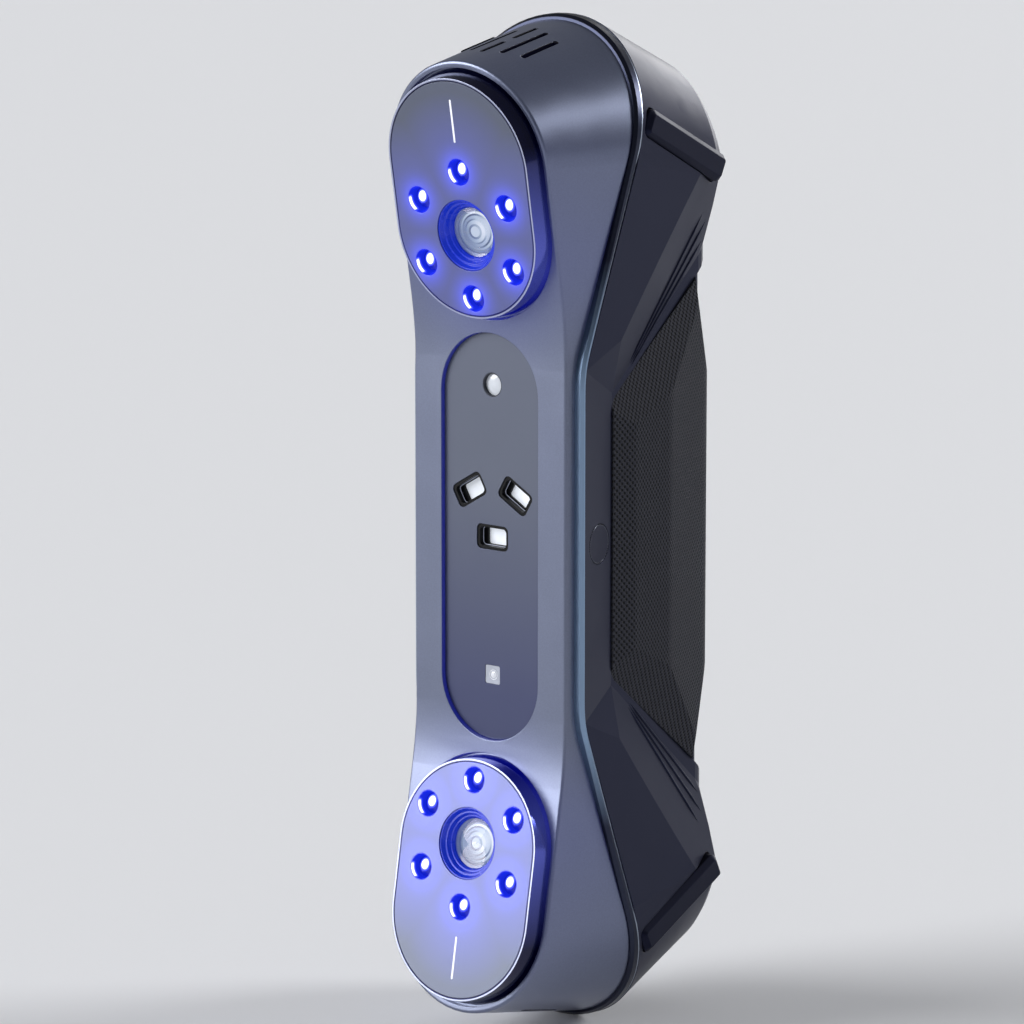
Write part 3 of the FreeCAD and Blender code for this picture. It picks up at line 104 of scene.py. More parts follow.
def pod_place(side):
    """Frame of a pod: z looks out along its camera, y runs up."""
    turn = Matrix.Rotation(math.radians(90) + side * POD_TOE, 4, "X")
    return Matrix.Translation(Vector((0, POD_DEPTH, side * POD_HEIGHT)) * MM) @ turn


def front_place(height, depth=PLATE_FACE, turn=0.0, across=0.0):
    """Frame on the centre plate: z looks out of it, y runs up before the turn in degrees."""
    stand = Matrix.Rotation(math.radians(90), 4, "X") @ Matrix.Rotation(math.radians(turn), 4, "Z")
    return Matrix.Translation(Vector((across, depth, height)) * MM) @ stand


def panel_place(side):
    """Frame on a side panel, level with the button: z looks out of the panel."""
    out = Vector((side * math.cos(PANEL_LEAN), math.sin(PANEL_LEAN), 0))
    turn = out.to_track_quat("Z", "Y").to_matrix().to_4x4()
    return Matrix.Translation(Vector((side * PANEL_HALF, PANEL_DEPTH, 0)) * MM) @ turn


# ---------------------------------------------------------------- nodes

NOISE, VECTOR, SPLIT = "ShaderNodeTexNoise", "ShaderNodeVectorMath", "ShaderNodeSeparateXYZ"
RANGE = "ShaderNodeMapRange"  # inputs in order: value, from low, from high, to low, to high


def srgb(code):
    """Linear colour from an sRGB hex code; one that is linear already stays as it is."""
    if not isinstance(code, str):
        return tuple(code)
    parts = [int(code[i:i + 2], 16) / 255 for i in (1, 3, 5)]
    return tuple(c / 12.92 if c <= 0.04045 else ((c + 0.055) / 1.055) ** 2.4 for c in parts) + (1.0,)


def shade(colour, amount):
    """The same colour, lighter or darker."""
    return tuple(min(1.0, c * amount) for c in srgb(colour)[:3]) + (1.0,)


def feed(item, inputs):
    """Gives a node's inputs, by name or in order, their values or hex colours, or what they read."""
    for key, value in inputs.items() if isinstance(inputs, dict) else enumerate(inputs):
        if isinstance(value, bpy.types.Node):
            value = value.outputs[0]
        if isinstance(value, bpy.types.NodeSocket):
            item.id_data.links.new(value, item.inputs[key])
        else:
            item.inputs[key].default_value = srgb(value) if isinstance(value, str) else value


def add(tree, kind, inputs=(), **settings):
    """One node with its settings, input values and links.
    A kind in capitals is a Math node's operation."""
    if kind.isupper():
        kind, settings = "ShaderNodeMath", {"operation": kind}
    item = tree.nodes.new(kind)
    for key, value in settings.items():
        setattr(item, key, value)
    feed(item, inputs)
    return item


def start(name, colour, *patches, **inputs):
    """A material, its node tree, its principled shader, the object coordinates and, for each pair of
    patch size and detail, a random pattern on them."""
    item = bpy.data.materials.new(name)
    item.use_nodes = True
    tree = item.node_tree
    shader = tree.nodes["Principled BSDF"]
    named = {key.replace("_", " ").title().replace("Ior", "IOR"): value for key, value in inputs.items()}
    feed(shader, {"Base Color": colour, **named})
    place = add(tree, "ShaderNodeTexCoord").outputs["Object"]
    patterns = [add(tree, NOISE, {"Vector": place, "Scale": 1 / (size * MM), "Detail": detail})
                for size, detail in patches]
    return item, tree, shader, place, *patterns


def relief(shader, height, depth, edge=0.0, strength=1.0):
    """Relief of depth millimetres, on edges that look rounded by edge millimetres."""
    inputs = {"Height": height, "Strength": strength, "Distance": depth * MM}
    if edge:
        inputs["Normal"] = add(shader.id_data, "ShaderNodeBevel", {"Radius": edge * MM}, samples=4)
    feed(shader, {"Normal": add(shader.id_data, "ShaderNodeBump", inputs)})


def dye(shader, pattern, first, second):
    """Along a pattern the base colour goes from the first to the second; another dye can follow it."""
    ends = {"Factor": pattern, 6: first, 7: second}
    tone = add(shader.id_data, "ShaderNodeMix", ends, data_type="RGBA").outputs[2]
    feed(shader, {"Base Color": tone})
    return tone


def polish(shader, pattern, low, high, start_at=0.0, stop_at=1.0):
    """Along a pattern the roughness goes from low to high."""
    feed(shader, {"Roughness": add(shader.id_data, RANGE, [pattern, start_at, stop_at, low, high])})


def from_stadium(tree, across, height, ends, radius):
    """How far a point lies outside a stadium whose round ends have their centres at ends."""
    inner = add(tree, "ShaderNodeClamp", [height, ends[0] * MM, ends[1] * MM])
    flat = add(tree, "ShaderNodeCombineXYZ", [across, add(tree, "SUBTRACT", [height, inner])])
    length = add(tree, VECTOR, [flat], operation="LENGTH").outputs["Value"]
    return add(tree, "SUBTRACT", [length, radius * MM])


# ---------------------------------------------------------------- finishes

# The lamps' blue light, painted on the shell, as reach and strength: in the groove round a pod and round the
# centre plate, and beside a pod. It is full up to the first height and falls to the last share at the second
# one.
POD_GROOVE, CENTRE_GROOVE, BESIDE_POD = (1.5, 0.42), (0.5, 0.24), (17.0, 0.16)
SHELL_LIGHT = (40.0, 92.0, 0.1)
# On a pod's wall the painted light falls between the first two heights, and from its deepest blue between the
# next two.
WALL_LIGHT, WALL_DEEP, WALL_GLOW = (52.0, 84.0), (49.0, 58.0), 0.2
# The painted highlight round a pod's front starts between these distances from its outline.
POD_RIM_HIGHLIGHT = (-0.42, -0.3)
# On the face plates, painted light round each lamp: reach and strength, and how fast the close light falls.
LAMP_EDGE, CLOSE_REACH, CLOSE_GLOW, CLOSE_FALL = 2.4, 8.0, 0.62, 2.6
WIDE_REACH, WIDE_GLOW = 17.0, 0.1


def lacquered_alloy(name, colour, metallic=0.7, roughness=0.3, edge=0.3):
    """Die-cast alloy under metallic lacquer: fine flakes glint in an even, satin colour.
    Real flakes are finer: these are as coarse as they need to be to show."""
    item, tree, shader, place, clouds, orange_peel = start(
        name, colour, (9, 3.0), (0.5, 2.0), metallic=metallic, coat_weight=0.2, coat_roughness=0.25)
    flakes = add(tree, "ShaderNodeTexVoronoi", {"Vector": place, "Scale": 1 / (0.22 * MM)})
    dye(shader, flakes.outputs["Color"], shade(colour, 0.94), shade(colour, 1.06))
    polish(shader, clouds, roughness - 0.05, roughness + 0.05)
    relief(shader, orange_peel, 0.003, edge)
    return item, tree, shader, place


def painted_lamp_light(tree, across, height, forward):
    """Painted light of the lamps on the shell: deep in the grooves round its inlays, faint beside the pods.
    """
    upright = add(tree, RANGE, [add(tree, "ABSOLUTE", [forward]), 0.5, 0.75, 1.0, 0.0])
    pods = from_stadium(tree, across, height, [POD_HEIGHT + end for end in POD_ENDS], POD_RADIUS)
    centre = from_stadium(tree, across, height, (0.0, CENTRE_END), CENTRE_RADIUS)
    grooves = 0.0
    for gap, (reach, painted_glow) in ((pods, POD_GROOVE), (centre, CENTRE_GROOVE)):
        near = add(tree, RANGE, [gap, reach * MM, (reach + 0.3) * MM, painted_glow, 0.0])
        grooves = add(tree, "MAXIMUM", [grooves, near])
    grooves = add(tree, "MULTIPLY", [grooves, upright])
    beside = add(tree, RANGE, [pods, 0.0, BESIDE_POD[0] * MM, 1.0, 0.0])
    beside = add(tree, "POWER", [beside, 2.0])
    beside = add(tree, "MULTIPLY", [beside, BESIDE_POD[1]])
    light = add(tree, "MAXIMUM", [grooves, beside])
    full_to, gone_at, share = SHELL_LIGHT
    waist = add(tree, RANGE, [height, full_to * MM, gone_at * MM, 1.0, share])
    return add(tree, "MULTIPLY", [light, waist])


def slot_shade_mask(tree, parts, upward):
    """One on the walls of the cooling slots, which are the upright faces in the slots' field: there the shell
    is painted in shade.
    """
    steep = add(tree, "ABSOLUTE", [upward])
    inside = add(tree, "LESS_THAN", [steep, 0.4])
    for axis, middle, reach, test in zip(
        "XYZ", (0.0, VENT_DEPTH, 0.0), VENT_FIELD, ("LESS_THAN", "LESS_THAN", "GREATER_THAN")):
        away = add(tree, "SUBTRACT", [parts[axis], middle * MM])
        away = add(tree, "ABSOLUTE", [away])
        within = add(tree, test, [away, reach * MM])
        inside = add(tree, "MULTIPLY", [inside, within])
    return inside


def shell_lacquer(name, colour):
    """The shell's lacquer, with painted lamp light in blue and painted shade in black inside the cooling
    slots.
    """
    item, tree, shader, place = lacquered_alloy(name, colour)
    parts = add(tree, SPLIT, [place]).outputs
    facing = add(tree, SPLIT, [add(tree, "ShaderNodeNewGeometry").outputs["True Normal"]]).outputs
    height = add(tree, "ABSOLUTE", [parts["Z"]])
    lacquer = shader.inputs["Base Color"].links[0].from_socket
    # Painted shade: the slot walls are painted near black, where shade falls inside the slots.
    dye(shader, slot_shade_mask(tree, parts, facing["Z"]), lacquer, "#030304")
    # Painted lamp light: the shell gives off blue light in its grooves and beside the pods.
    feed(shader, {"Emission Color": "#0a1cc8",
                  "Emission Strength": painted_lamp_light(tree, parts["X"], height, facing["Y"])})
    return item


def dyed_pod(name, colour, lit, deep, line, side):
    """Polished aluminium, dyed navy on its wall; a bright line round its front is a painted highlight, and
    painted lamp light tints the wall lavender and deep blue."""
    item, tree, shader, place, smears, dents = start(
        name, colour, (14, 4.0), (3, 2.0), metallic=0.8, coat_weight=0.3, coat_roughness=0.06)
    stand = pod_place(side)
    normal = add(tree, "ShaderNodeNewGeometry").outputs["True Normal"]
    facing = add(tree, VECTOR, [normal, stand.to_3x3() @ Vector((0, 0, 1))], operation="DOT_PRODUCT")
    front = add(tree, RANGE, [facing.outputs["Value"], 0.8, 0.9])
    local = add(tree, "ShaderNodeMapping", {
        "Vector": place, "Location": stand.translation, "Rotation": stand.to_euler()}, vector_type="TEXTURE")
    local = add(tree, SPLIT, [local]).outputs
    away = add(tree, "MULTIPLY", [local["Y"], side])
    inside = from_stadium(tree, local["X"], away, POD_ENDS, POD_RADIUS)
    # Painted highlight: front faces near the outline are painted pale grey, those farther in a lighter navy.
    seam = add(tree, RANGE, [inside, POD_RIM_HIGHLIGHT[0] * MM, POD_RIM_HIGHLIGHT[1] * MM])
    height = add(tree, "ABSOLUTE", [add(tree, SPLIT, [place]).outputs["Z"]])
    # Painted lamp light on the pod's wall: lavender towards the waist, deep blue at its waist end, where it
    # gives off light too.
    near, end = (add(tree, RANGE, [height, low * MM, high * MM, 1.0, 0.0])
                 for low, high in (WALL_LIGHT, WALL_DEEP))
    line = dye(shader, seam, shade(colour, 1.5), line)
    lit = dye(shader, end, lit, deep)
    dye(shader, front, dye(shader, near, colour, lit), line)
    wall_gloss = add(tree, RANGE, [smears, 0.35, 0.7, 0.1, 0.22])
    cut_gloss = add(tree, "MULTIPLY", [front, 0.25])
    feed(shader, {"Roughness": add(tree, "ADD", [wall_gloss, cut_gloss]), "Emission Color": lit,
                  "Emission Strength": add(tree, "MULTIPLY", [near, WALL_GLOW])})
    relief(shader, dents, 0.003, 0.2)
    return item


def anodised_band(name, colour, dark, edge):
    """Anodised aluminium, brushed round its outline; a painted reflection darkens it to the ends and a
    painted highlight keeps its front edge bright."""
    item, tree, shader, place = start(name, colour, metallic=1.0, coat_weight=0.15, coat_roughness=0.2)
    parts = add(tree, SPLIT, [place]).outputs
    height = add(tree, "ABSOLUTE", [parts["Z"]])
    rise = add(tree, "SUBTRACT", [height, SEAM_BEND * MM])
    rise = add(tree, "MAXIMUM", [rise, 0.0])
    seam = add(tree, "MULTIPLY_ADD", [rise, SEAM_SLOPE, SEAM_DEPTH * MM])
    ahead = add(tree, "SUBTRACT", [seam, parts["Y"]])
    # Painted highlight along the band's front edge.
    edge_highlight = add(tree, RANGE, [ahead, 0.25 * MM, 0.4 * MM, 1.0, 0.0])
    # Painted reflection: the band darkens towards its ends.
    ends = add(tree, RANGE, [height, 40 * MM, 60 * MM])
    # Nine brushed lines to the millimetre, each about eight millimetres long.
    stretched = add(tree, "ShaderNodeMapping", {"Vector": place, "Scale": (9 / MM, 9 / MM, 0.12 / MM)})
    lines = add(tree, NOISE, {"Vector": stretched, "Scale": 1.0, "Detail": 2.0})
    brushed = dye(shader, lines, shade(colour, 0.88), shade(colour, 1.1))
    dye(shader, ends, brushed, dye(shader, edge_highlight, dark, edge))
    polish(shader, lines, 0.24, 0.4)
    relief(shader, lines, 0.003, 0.2, 0.6)
    return item


def moulded_plastic(name, colour, roughness=0.5, grain=0.35, depth=0.01, edge=0.3, specular=0.3, **extra):
    """ABS from a spark-eroded mould: a fine dull grain, a little shinier where hands rub it.
    The real grain is finer: it is drawn as coarse as it needs to be to show."""
    item, _, shader, _, wear, grains = start(name, colour, (28, 4.0), (grain, 2.0),
                                             specular_ior_level=specular, **extra)
    feed(grains, {"Roughness": 0.6})
    dye(shader, wear, shade(colour, 0.88), shade(colour, 1.12))
    polish(shader, wear, roughness + 0.06, roughness - 0.08, 0.3, 0.75)
    relief(shader, grains, depth, edge, 0.8)
    return item


def gloss_plastic(name, colour, roughness=0.2, edge=0.2, painted_glow=None, **extra):
    """Glass-filled nylon, polished in the mould: smooth, with fine flow marks.
    The painted_glow argument gives the colour and strength of lamp light or a highlight that is painted on
    it."""
    if painted_glow:
        extra.update(emission_color=painted_glow[0], emission_strength=painted_glow[1])
    item, _, shader, _, flow = start(name, colour, (5, 3.0), **extra)
    polish(shader, flow, roughness - 0.05, roughness + 0.1)
    relief(shader, flow, 0.004, edge, 0.7)
    return item


def dimpled_rubber(name, colour, pitch, depth):
    """Soft-touch rubber moulded with rows of tiny pits: painted shade darkens the pits and the lattice of
    thin walls between them is painted light.
    The pits are drawn a little coarser than real ones, so that they show."""
    item, tree, shader, place, uneven = start(name, colour, (6, 1.0), roughness=0.6, specular_ior_level=0.2)
    parts = add(tree, SPLIT, [place]).outputs
    # Runs round the grip: back along its side, then in across its rear face.
    across = add(tree, "ABSOLUTE", [parts["X"]])
    along = add(tree, "SUBTRACT", [parts["Y"], across])
    along = add(tree, "MULTIPLY_ADD", [uneven, 0.35 * MM, along])
    waves = []
    for lean in (0.62, -0.62):
        line = add(tree, "MULTIPLY_ADD", [parts["Z"], lean, along])
        phase = add(tree, "MULTIPLY", [line, math.tau / (pitch * MM)])
        waves.append(add(tree, "COSINE", [phase]))
    both = add(tree, "ADD", waves)
    net_and_pit_shade = add(tree, RANGE, [both, -0.4, 1.7, 1.0, 0.0]).outputs[0]
    # Painted shade in the pits, painted light on the walls between them.
    dye(shader, net_and_pit_shade, shade(colour, 0.25), shade(colour, 2.1))
    relief(shader, net_and_pit_shade, depth, 0.4)
    return item


def plain_rubber(name, colour):
    """Nitrile rubber, pressed in a smooth mould: dark, with a soft broad sheen."""
    item, _, shader, _, bloom, grain = start(name, colour, (7, 4.0), (0.6, 2.0),
                                             specular_ior_level=0.25, specular_tint="#a0acff")
    polish(shader, bloom, 0.38, 0.52)
    relief(shader, grain, 0.006, 0.35)
    return item


def plate_with_painted_glow(name, colour, lit, side, lamps):
    """Satin-lacquered plate with painted lamp light: round each lamp it turns lavender and glows blue."""
    item, tree, shader, place, grain = start(
        name, colour, (0.5, 2.0), metallic=0.55, roughness=0.36, coat_weight=0.15, coat_roughness=0.25)
    near = 1.0  # a metre, farther than any lamp
    for x, y in lamps:
        centre = pod_place(side) @ (Vector((x, y, 0)) * MM)
        gap = add(tree, VECTOR, [place, centre], operation="DISTANCE").outputs["Value"]
        near = add(tree, "MINIMUM", [near, gap])
    close = add(tree, RANGE, [near, LAMP_EDGE * MM, CLOSE_REACH * MM, 1.0, 0.0])
    close = add(tree, "POWER", [close, CLOSE_FALL])
    close = add(tree, "MULTIPLY", [close, CLOSE_GLOW])
    wide = add(tree, RANGE, [near, 0.0, WIDE_REACH * MM, 1.0, 0.0])
    # Painted lamp light: the plate turns lavender and gives off blue light round each lamp.
    dye(shader, wide, colour, lit)
    feed(shader, {"Emission Color": "#3440ff",
                  "Emission Strength": add(tree, "MULTIPLY_ADD", [wide, WIDE_GLOW, close])})
    relief(shader, grain, 0.003, 0.15)
    return item


def two_ended_plate(name, top, bottom):
    """Satin anodised plate, darker and bluer towards its lower end: a painted reflection and painted lamp
    light.
    """
    item, tree, shader, place = lacquered_alloy(name, top, 0.35, 0.4, 0.15)
    # Painted reflection and lamp light: darker and bluer towards the bottom.
    down = add(tree, RANGE, [add(tree, SPLIT, [place]).outputs["Z"], 12 * MM, -34 * MM])
    dye(shader, down, top, bottom)
    return item


def optical_glass(name, tint, film):
    """Ground and polished glass, with a coating of film nanometres that tints its reflections."""
    item, _, shader, _, waves = start(name, tint, (8, 2.0), roughness=0.0, transmission_weight=1.0,
                                      ior=1.52, thin_film_thickness=film, thin_film_ior=1.38)
    relief(shader, waves, 0.001)
    return item


def coated_element(name, colour, roughness, painted_glow=0.0):
    """A coated glass or opal element, pale and cool; the light it gives off is a painted reflection."""
    item, _, shader, _, patches = start(name, colour, (2.5, 1.0), roughness=roughness,
                                        coat_weight=0.6, coat_roughness=0.03,
                                        emission_color=colour, emission_strength=painted_glow)
    dye(shader, patches, shade(colour, 0.8), shade(colour, 1.15))
    relief(shader, patches, 0.002)
    return item


def shining(name, steps, strength, roughness):
    """Clear epoxy or coated glass that gives off light, from its cool shade up to burnt-out white: partly the
    lamps' own light, partly painted light and painted reflections. How bright each spot is comes with the
    mesh."""
    item, tree, shader, _, uneven = start(name, steps[0][1], (1.2, 1.0), coat_weight=0.2, coat_roughness=0.1)
    brightness = add(tree, "ShaderNodeAttribute", attribute_name="painted_brightness").outputs["Fac"]
    ramp = add(tree, "ShaderNodeValToRGB", [brightness])
    stops = ramp.color_ramp.elements
    stops[0].position, stops[-1].position = steps[0][0], steps[-1][0]
    for at, _ in steps[1:-1]:
        stops.new(at)
    for stop, (_, colour) in zip(stops, steps):
        stop.color = srgb(colour)
    feed(shader, {"Emission Color": ramp, "Emission Strength": add(tree, RANGE, [brightness, 0.0, 1.0, *strength])})
    polish(shader, uneven, roughness, roughness + 0.08)
    relief(shader, uneven, 0.002)
    return item


def machined_metal(name, colour, roughness=0.3, pitch=0.25):
    """Turned or milled metal: faint tool marks run across it."""
    item, tree, shader, place = start(name, colour, metallic=1.0)
    marks = add(tree, "ShaderNodeTexWave", {"Vector": place, "Scale": 1 / (pitch * math.tau * MM),
                                            "Distortion": 1.2, "Detail": 2.0}, bands_direction="Z")
    marks = marks.outputs["Fac"]
    polish(shader, marks, roughness - 0.06, roughness + 0.1)
    relief(shader, marks, 0.004, 0.12, 0.6)
    return item


def circuit_board(name, colour):
    """Glass-epoxy board under solder mask: raised copper tracks and a thin clear gloss."""
    item, tree, shader, place = start(name, colour, roughness=0.35, coat_weight=0.4, coat_roughness=0.1)
    tracks = add(tree, "ShaderNodeTexBrick", {
        "Vector": place, "Scale": 1 / (4 * MM), "Mortar Size": 0.05, "Mortar Smooth": 0.2}).outputs["Fac"]
    dye(shader, tracks, colour, shade(colour, 1.9))
    relief(shader, tracks, 0.03, 0.1)
    return item


# ---------------------------------------------------------------- meshes and pieces

SMOOTH_TO = math.radians(30.0)  # faces that meet at a sharper angle keep their edge


def paint(material, *names):
    """Gives CAD nodes their finish."""
    for name in names:
        for held in NODES[name].material_slots:
            held.material = material


def paint_brightness(mesh, rule):
    """Writes how bright each point of a mesh is painted, from its place in millimetres."""
    brightness_values = [min(1.0, max(0.0, rule(*(point.co / MM)))) for point in mesh.vertices]
    mesh.attributes.new("painted_brightness", "FLOAT", "POINT").data.foreach_set("value", brightness_values)
    return mesh


def put_in(name, data):
    """A new object in the scene."""
    item = bpy.data.objects.new(name, data)
    bpy.context.scene.collection.objects.link(item)
    return item


def keep(name, mesh, material, place, body="scanner", stands_for=()):
    """A mesh is put in its place and becomes a piece that moves with a body."""
    mesh.transform(place)
    if material is not None:
        mesh.materials.clear()
        mesh.materials.append(material)
    mesh.shade_smooth()
    mesh.set_sharp_from_angle(angle=SMOOTH_TO)
    piece = put_in(name, mesh)
    bpy.context.view_layer.update()
    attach(piece, body)
    if stands_for:
        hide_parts(*stands_for)


def as_mesh(name, shape):
    """A plain mesh of a shape whose faces point outwards."""
    bmesh.ops.recalc_face_normals(shape, faces=shape.faces)
    mesh = bpy.data.meshes.new(name)
    shape.to_mesh(mesh)
    shape.free()
    return mesh


def rings_mesh(name, rings, count=48, lobes=0, ring_shaped=False):
    """Closed mesh of rings (radius, z, lobe) about z, in millimetres, capped or joined last to first.
    A radius may depend on the angle."""
    shape = bmesh.new()
    rows = []
    for ring in rings:
        radius, z, lobe = (tuple(ring) + (0.0,))[:3]
        row = []
        for step in range(count):
            angle = math.tau * step / count
            r = radius(angle) if callable(radius) else radius * (1 + lobe * math.cos(lobes * angle))
            row.append(shape.verts.new(Vector((r * math.cos(angle), r * math.sin(angle), z)) * MM))
        rows.append(row)
    for first, second in zip(rows, rows[1:] + (rows[:1] if ring_shaped else [])):
        for step in range(count):
            after = (step + 1) % count
            shape.faces.new((first[step], first[after], second[after], second[step]))
    if not ring_shaped:
        shape.faces.new(rows[0][::-1])
        shape.faces.new(rows[-1])
    return as_mesh(name, shape)


def dome(radius, edge, rise, steps=10):
    """Rings of a shallow dome that starts at its middle."""
    curve = (radius ** 2 + rise ** 2) / (2 * rise)
    rings = [(0.02, edge + rise)]
    for step in range(1, steps + 1):
        r = radius * step / steps
        rings.append((r, edge + rise - (curve - math.sqrt(curve ** 2 - r ** 2))))
    return rings


def inlay(name, length, width, middle, low, high, steps=8):
    """Upright strip with round ends, raised from low to high, in millimetres."""
    shape = bmesh.new()
    r, reach = width / 2, (length - width) / 2
    corners = []
    for step in range(2 * steps + 2):
        angle = math.pi * (step if step <= steps else step - 1) / steps
        lift = reach if step <= steps else -reach
        corner = Vector((r * math.cos(angle), middle + lift + r * math.sin(angle), low))
        corners.append(shape.verts.new(corner * MM))
    for grown in bmesh.ops.extrude_face_region(shape, geom=[shape.faces.new(corners)])["geom"]:
        if isinstance(grown, bmesh.types.BMVert):
            grown.co.z = high * MM
    return as_mesh(name, shape)


def points_mesh(name, places, edges=()):
    """Points, in millimetres, and the lines between them, for a tree to work on."""
    mesh = bpy.data.meshes.new(name)
    mesh.from_pydata([tuple(Vector(place) * MM) for place in places], list(edges), [])
    return mesh


# ---------------------------------------------------------------- geometry trees

def new_tree(name, **sizes):
    """An empty geometry tree with named size inputs; returns the tree and its group input's sockets."""
    tree = bpy.data.node_groups.new(name, "GeometryNodeTree")
    tree.interface.new_socket("Geometry", in_out="INPUT", socket_type="NodeSocketGeometry")
    for key, kind in sizes.items():
        tree.interface.new_socket(key.replace("_", " "), in_out="INPUT", socket_type="NodeSocket" + kind)
    tree.interface.new_socket("Geometry", in_out="OUTPUT", socket_type="NodeSocketGeometry")
    return tree, add(tree, "NodeGroupInput").outputs


def end_tree(tree, geometry, material):
    """Every tree ends in real geometry with its finish."""
    real = add(tree, "GeometryNodeRealizeInstances", [geometry])
    dressed = add(tree, "GeometryNodeSetMaterial", {"Geometry": real, "Material": material})
    add(tree, "NodeGroupOutput", [dressed])
    return tree


def ring_tree(name, material):
    """Copies of an item on a ring about z, the first one at the top."""
    tree, given = new_tree(name, Item="Object", Count="Int", Ring_Radius="Float")
    ring = add(tree, "GeometryNodeMeshCircle", {"Vertices": given["Count"], "Radius": given["Ring Radius"]})
    upright = add(tree, "GeometryNodeTransform", {"Geometry": ring, "Rotation": (0, 0, math.pi / 2)})
    item = add(tree, "GeometryNodeObjectInfo", {"Object": given["Item"]}).outputs["Geometry"]
    copies = add(tree, "GeometryNodeInstanceOnPoints", {"Points": upright, "Instance": item})
    return end_tree(tree, copies, material)


def spots_tree(name, material):
    """Copies of an item on the given points."""
    tree, given = new_tree(name, Item="Object", Size="Float")
    item = add(tree, "GeometryNodeObjectInfo", {"Object": given["Item"]}).outputs["Geometry"]
    copies = add(tree, "GeometryNodeInstanceOnPoints", {
        "Points": given["Geometry"], "Instance": item, "Scale": given["Size"]})
    return end_tree(tree, copies, material)


def rib_tree(name, material):
    """A round rib along each line of the given mesh; the higher its fullness, the blunter its ends."""
    tree, given = new_tree(name, Width="Float", Spacing="Float", Fullness="Float")
    line = add(tree, "GeometryNodeMeshToCurve", {"Mesh": given["Geometry"]})
    even = add(tree, "GeometryNodeResampleCurve", {"Curve": line, "Length": given["Spacing"]}, mode="LENGTH")
    way = add(tree, "GeometryNodeSplineParameter").outputs["Factor"]
    back = add(tree, "SUBTRACT", [1.0, way])
    both = add(tree, "MULTIPLY", [way, back])
    full = add(tree, "MULTIPLY", [both, given["Fullness"]])
    size = add(tree, "MINIMUM", [full, 1.0])
    shaped = add(tree, "GeometryNodeSetCurveRadius", {"Curve": even, "Radius": size})
    section = add(tree, "GeometryNodeCurvePrimitiveCircle", {"Radius": given["Width"], "Resolution": 10})
    swept = add(tree, "GeometryNodeCurveToMesh", {
        "Curve": shaped, "Profile Curve": section, "Scale": size, "Fill Caps": True})
    return end_tree(tree, swept, material)


def frame_tree(name, material):
    """A thin round wire bent to a rectangle with round corners."""
    tree, given = new_tree(name, Width="Float", Height="Float", Corner="Float", Wire="Float")
    box = add(tree, "GeometryNodeCurvePrimitiveQuadrilateral", {
        "Width": given["Width"], "Height": given["Height"]})
    soft = add(tree, "GeometryNodeFilletCurve", {"Curve": box, "Radius": given["Corner"], "Count": 6},
               mode="POLY")
    section = add(tree, "GeometryNodeCurvePrimitiveCircle", {"Radius": given["Wire"], "Resolution": 8})
    swept = add(tree, "GeometryNodeCurveToMesh", {"Curve": soft, "Profile Curve": section})
    return end_tree(tree, swept, material)


def grow(name, tree, sizes, place=None, base=None, item=None, stands_for=()):
    """Runs a tree and keeps its result as a plain mesh on the scanner's body."""
    source = put_in(name + "_source", base or bpy.data.meshes.new(name + "_source"))
    helpers = [source]
    modifier = source.modifiers.new("shape", "NODES")
    modifier.node_group = tree
    sockets = {s.name: s.identifier for s in tree.interface.items_tree
               if s.item_type == "SOCKET" and s.in_out == "INPUT"}
    if item is not None:
        helpers.append(put_in(name + "_item", item))
        modifier[sockets["Item"]] = helpers[-1]
    for key, value in sizes.items():
        modifier[sockets[key]] = value
    bpy.context.view_layer.update()
    evaluated = source.evaluated_get(bpy.context.evaluated_depsgraph_get())
    mesh = bpy.data.meshes.new_from_object(evaluated)
    source.modifiers.clear()
    for helper in helpers:
        bpy.data.objects.remove(helper)
    if not mesh.polygons:
        raise RuntimeError("the tree %s made nothing" % tree.name)
    mesh.name = name
    keep(name, mesh, None, place or Matrix(), stands_for=stands_for)


# ---------------------------------------------------------------- settings

COLOUR = {"subtype": "COLOR", "size": 4, "min": 0, "max": 1}


class ScannerColours(bpy.types.PropertyGroup):
    """Main colours of the scanner."""
    shell: bpy.props.FloatVectorProperty(
        name="Shell", description="Metallic lacquer of the front shell", default=srgb("#6f768c"), **COLOUR)
    band: bpy.props.FloatVectorProperty(
        name="Trim band", description="Anodised band between the halves", default=srgb("#839ab6"), **COLOUR)
    plate: bpy.props.FloatVectorProperty(
        name="Face plates", description="Plates round the two cameras", default=srgb("#5f6577"), **COLOUR)
    housing: bpy.props.FloatVectorProperty(
        name="Housing", description="Moulded rear housing", default=srgb("#1c1e2b"), **COLOUR)
    grip: bpy.props.FloatVectorProperty(
        name="Grips", description="Rubber of the grips", default=srgb("#202128"), **COLOUR)


class ScannerSizes(bpy.types.PropertyGroup):
    """Sizes of the pieces that are added to the CAD part, in millimetres."""
    lamp_ring: bpy.props.FloatProperty(
        name="Lamp ring", description="Radius of the ring of lamps", default=13.5, min=5, max=20)
    lamp_count: bpy.props.IntProperty(
        name="Lamps", description="Lamps round each camera", default=6, min=1, max=12)
    pit_pitch: bpy.props.FloatProperty(
        name="Pit pitch", description="Spacing of the pits in the grips", default=0.85, min=0.3, max=5)
    pit_depth: bpy.props.FloatProperty(
        name="Pit depth", description="Depth of the pits in the grips", default=0.28, min=0, max=1)
    rib_width: bpy.props.FloatProperty(
        name="Rib width", description="Half width of the ribs by the grips", default=0.32, min=0.05, max=2)
    rib_count: bpy.props.IntProperty(
        name="Ribs", description="Ribs that fan out at each grip corner", default=3, min=1, max=8)
    mark_length: bpy.props.FloatProperty(
        name="Mark length", description="Inlaid line on each face plate", default=9.1, min=1, max=15)


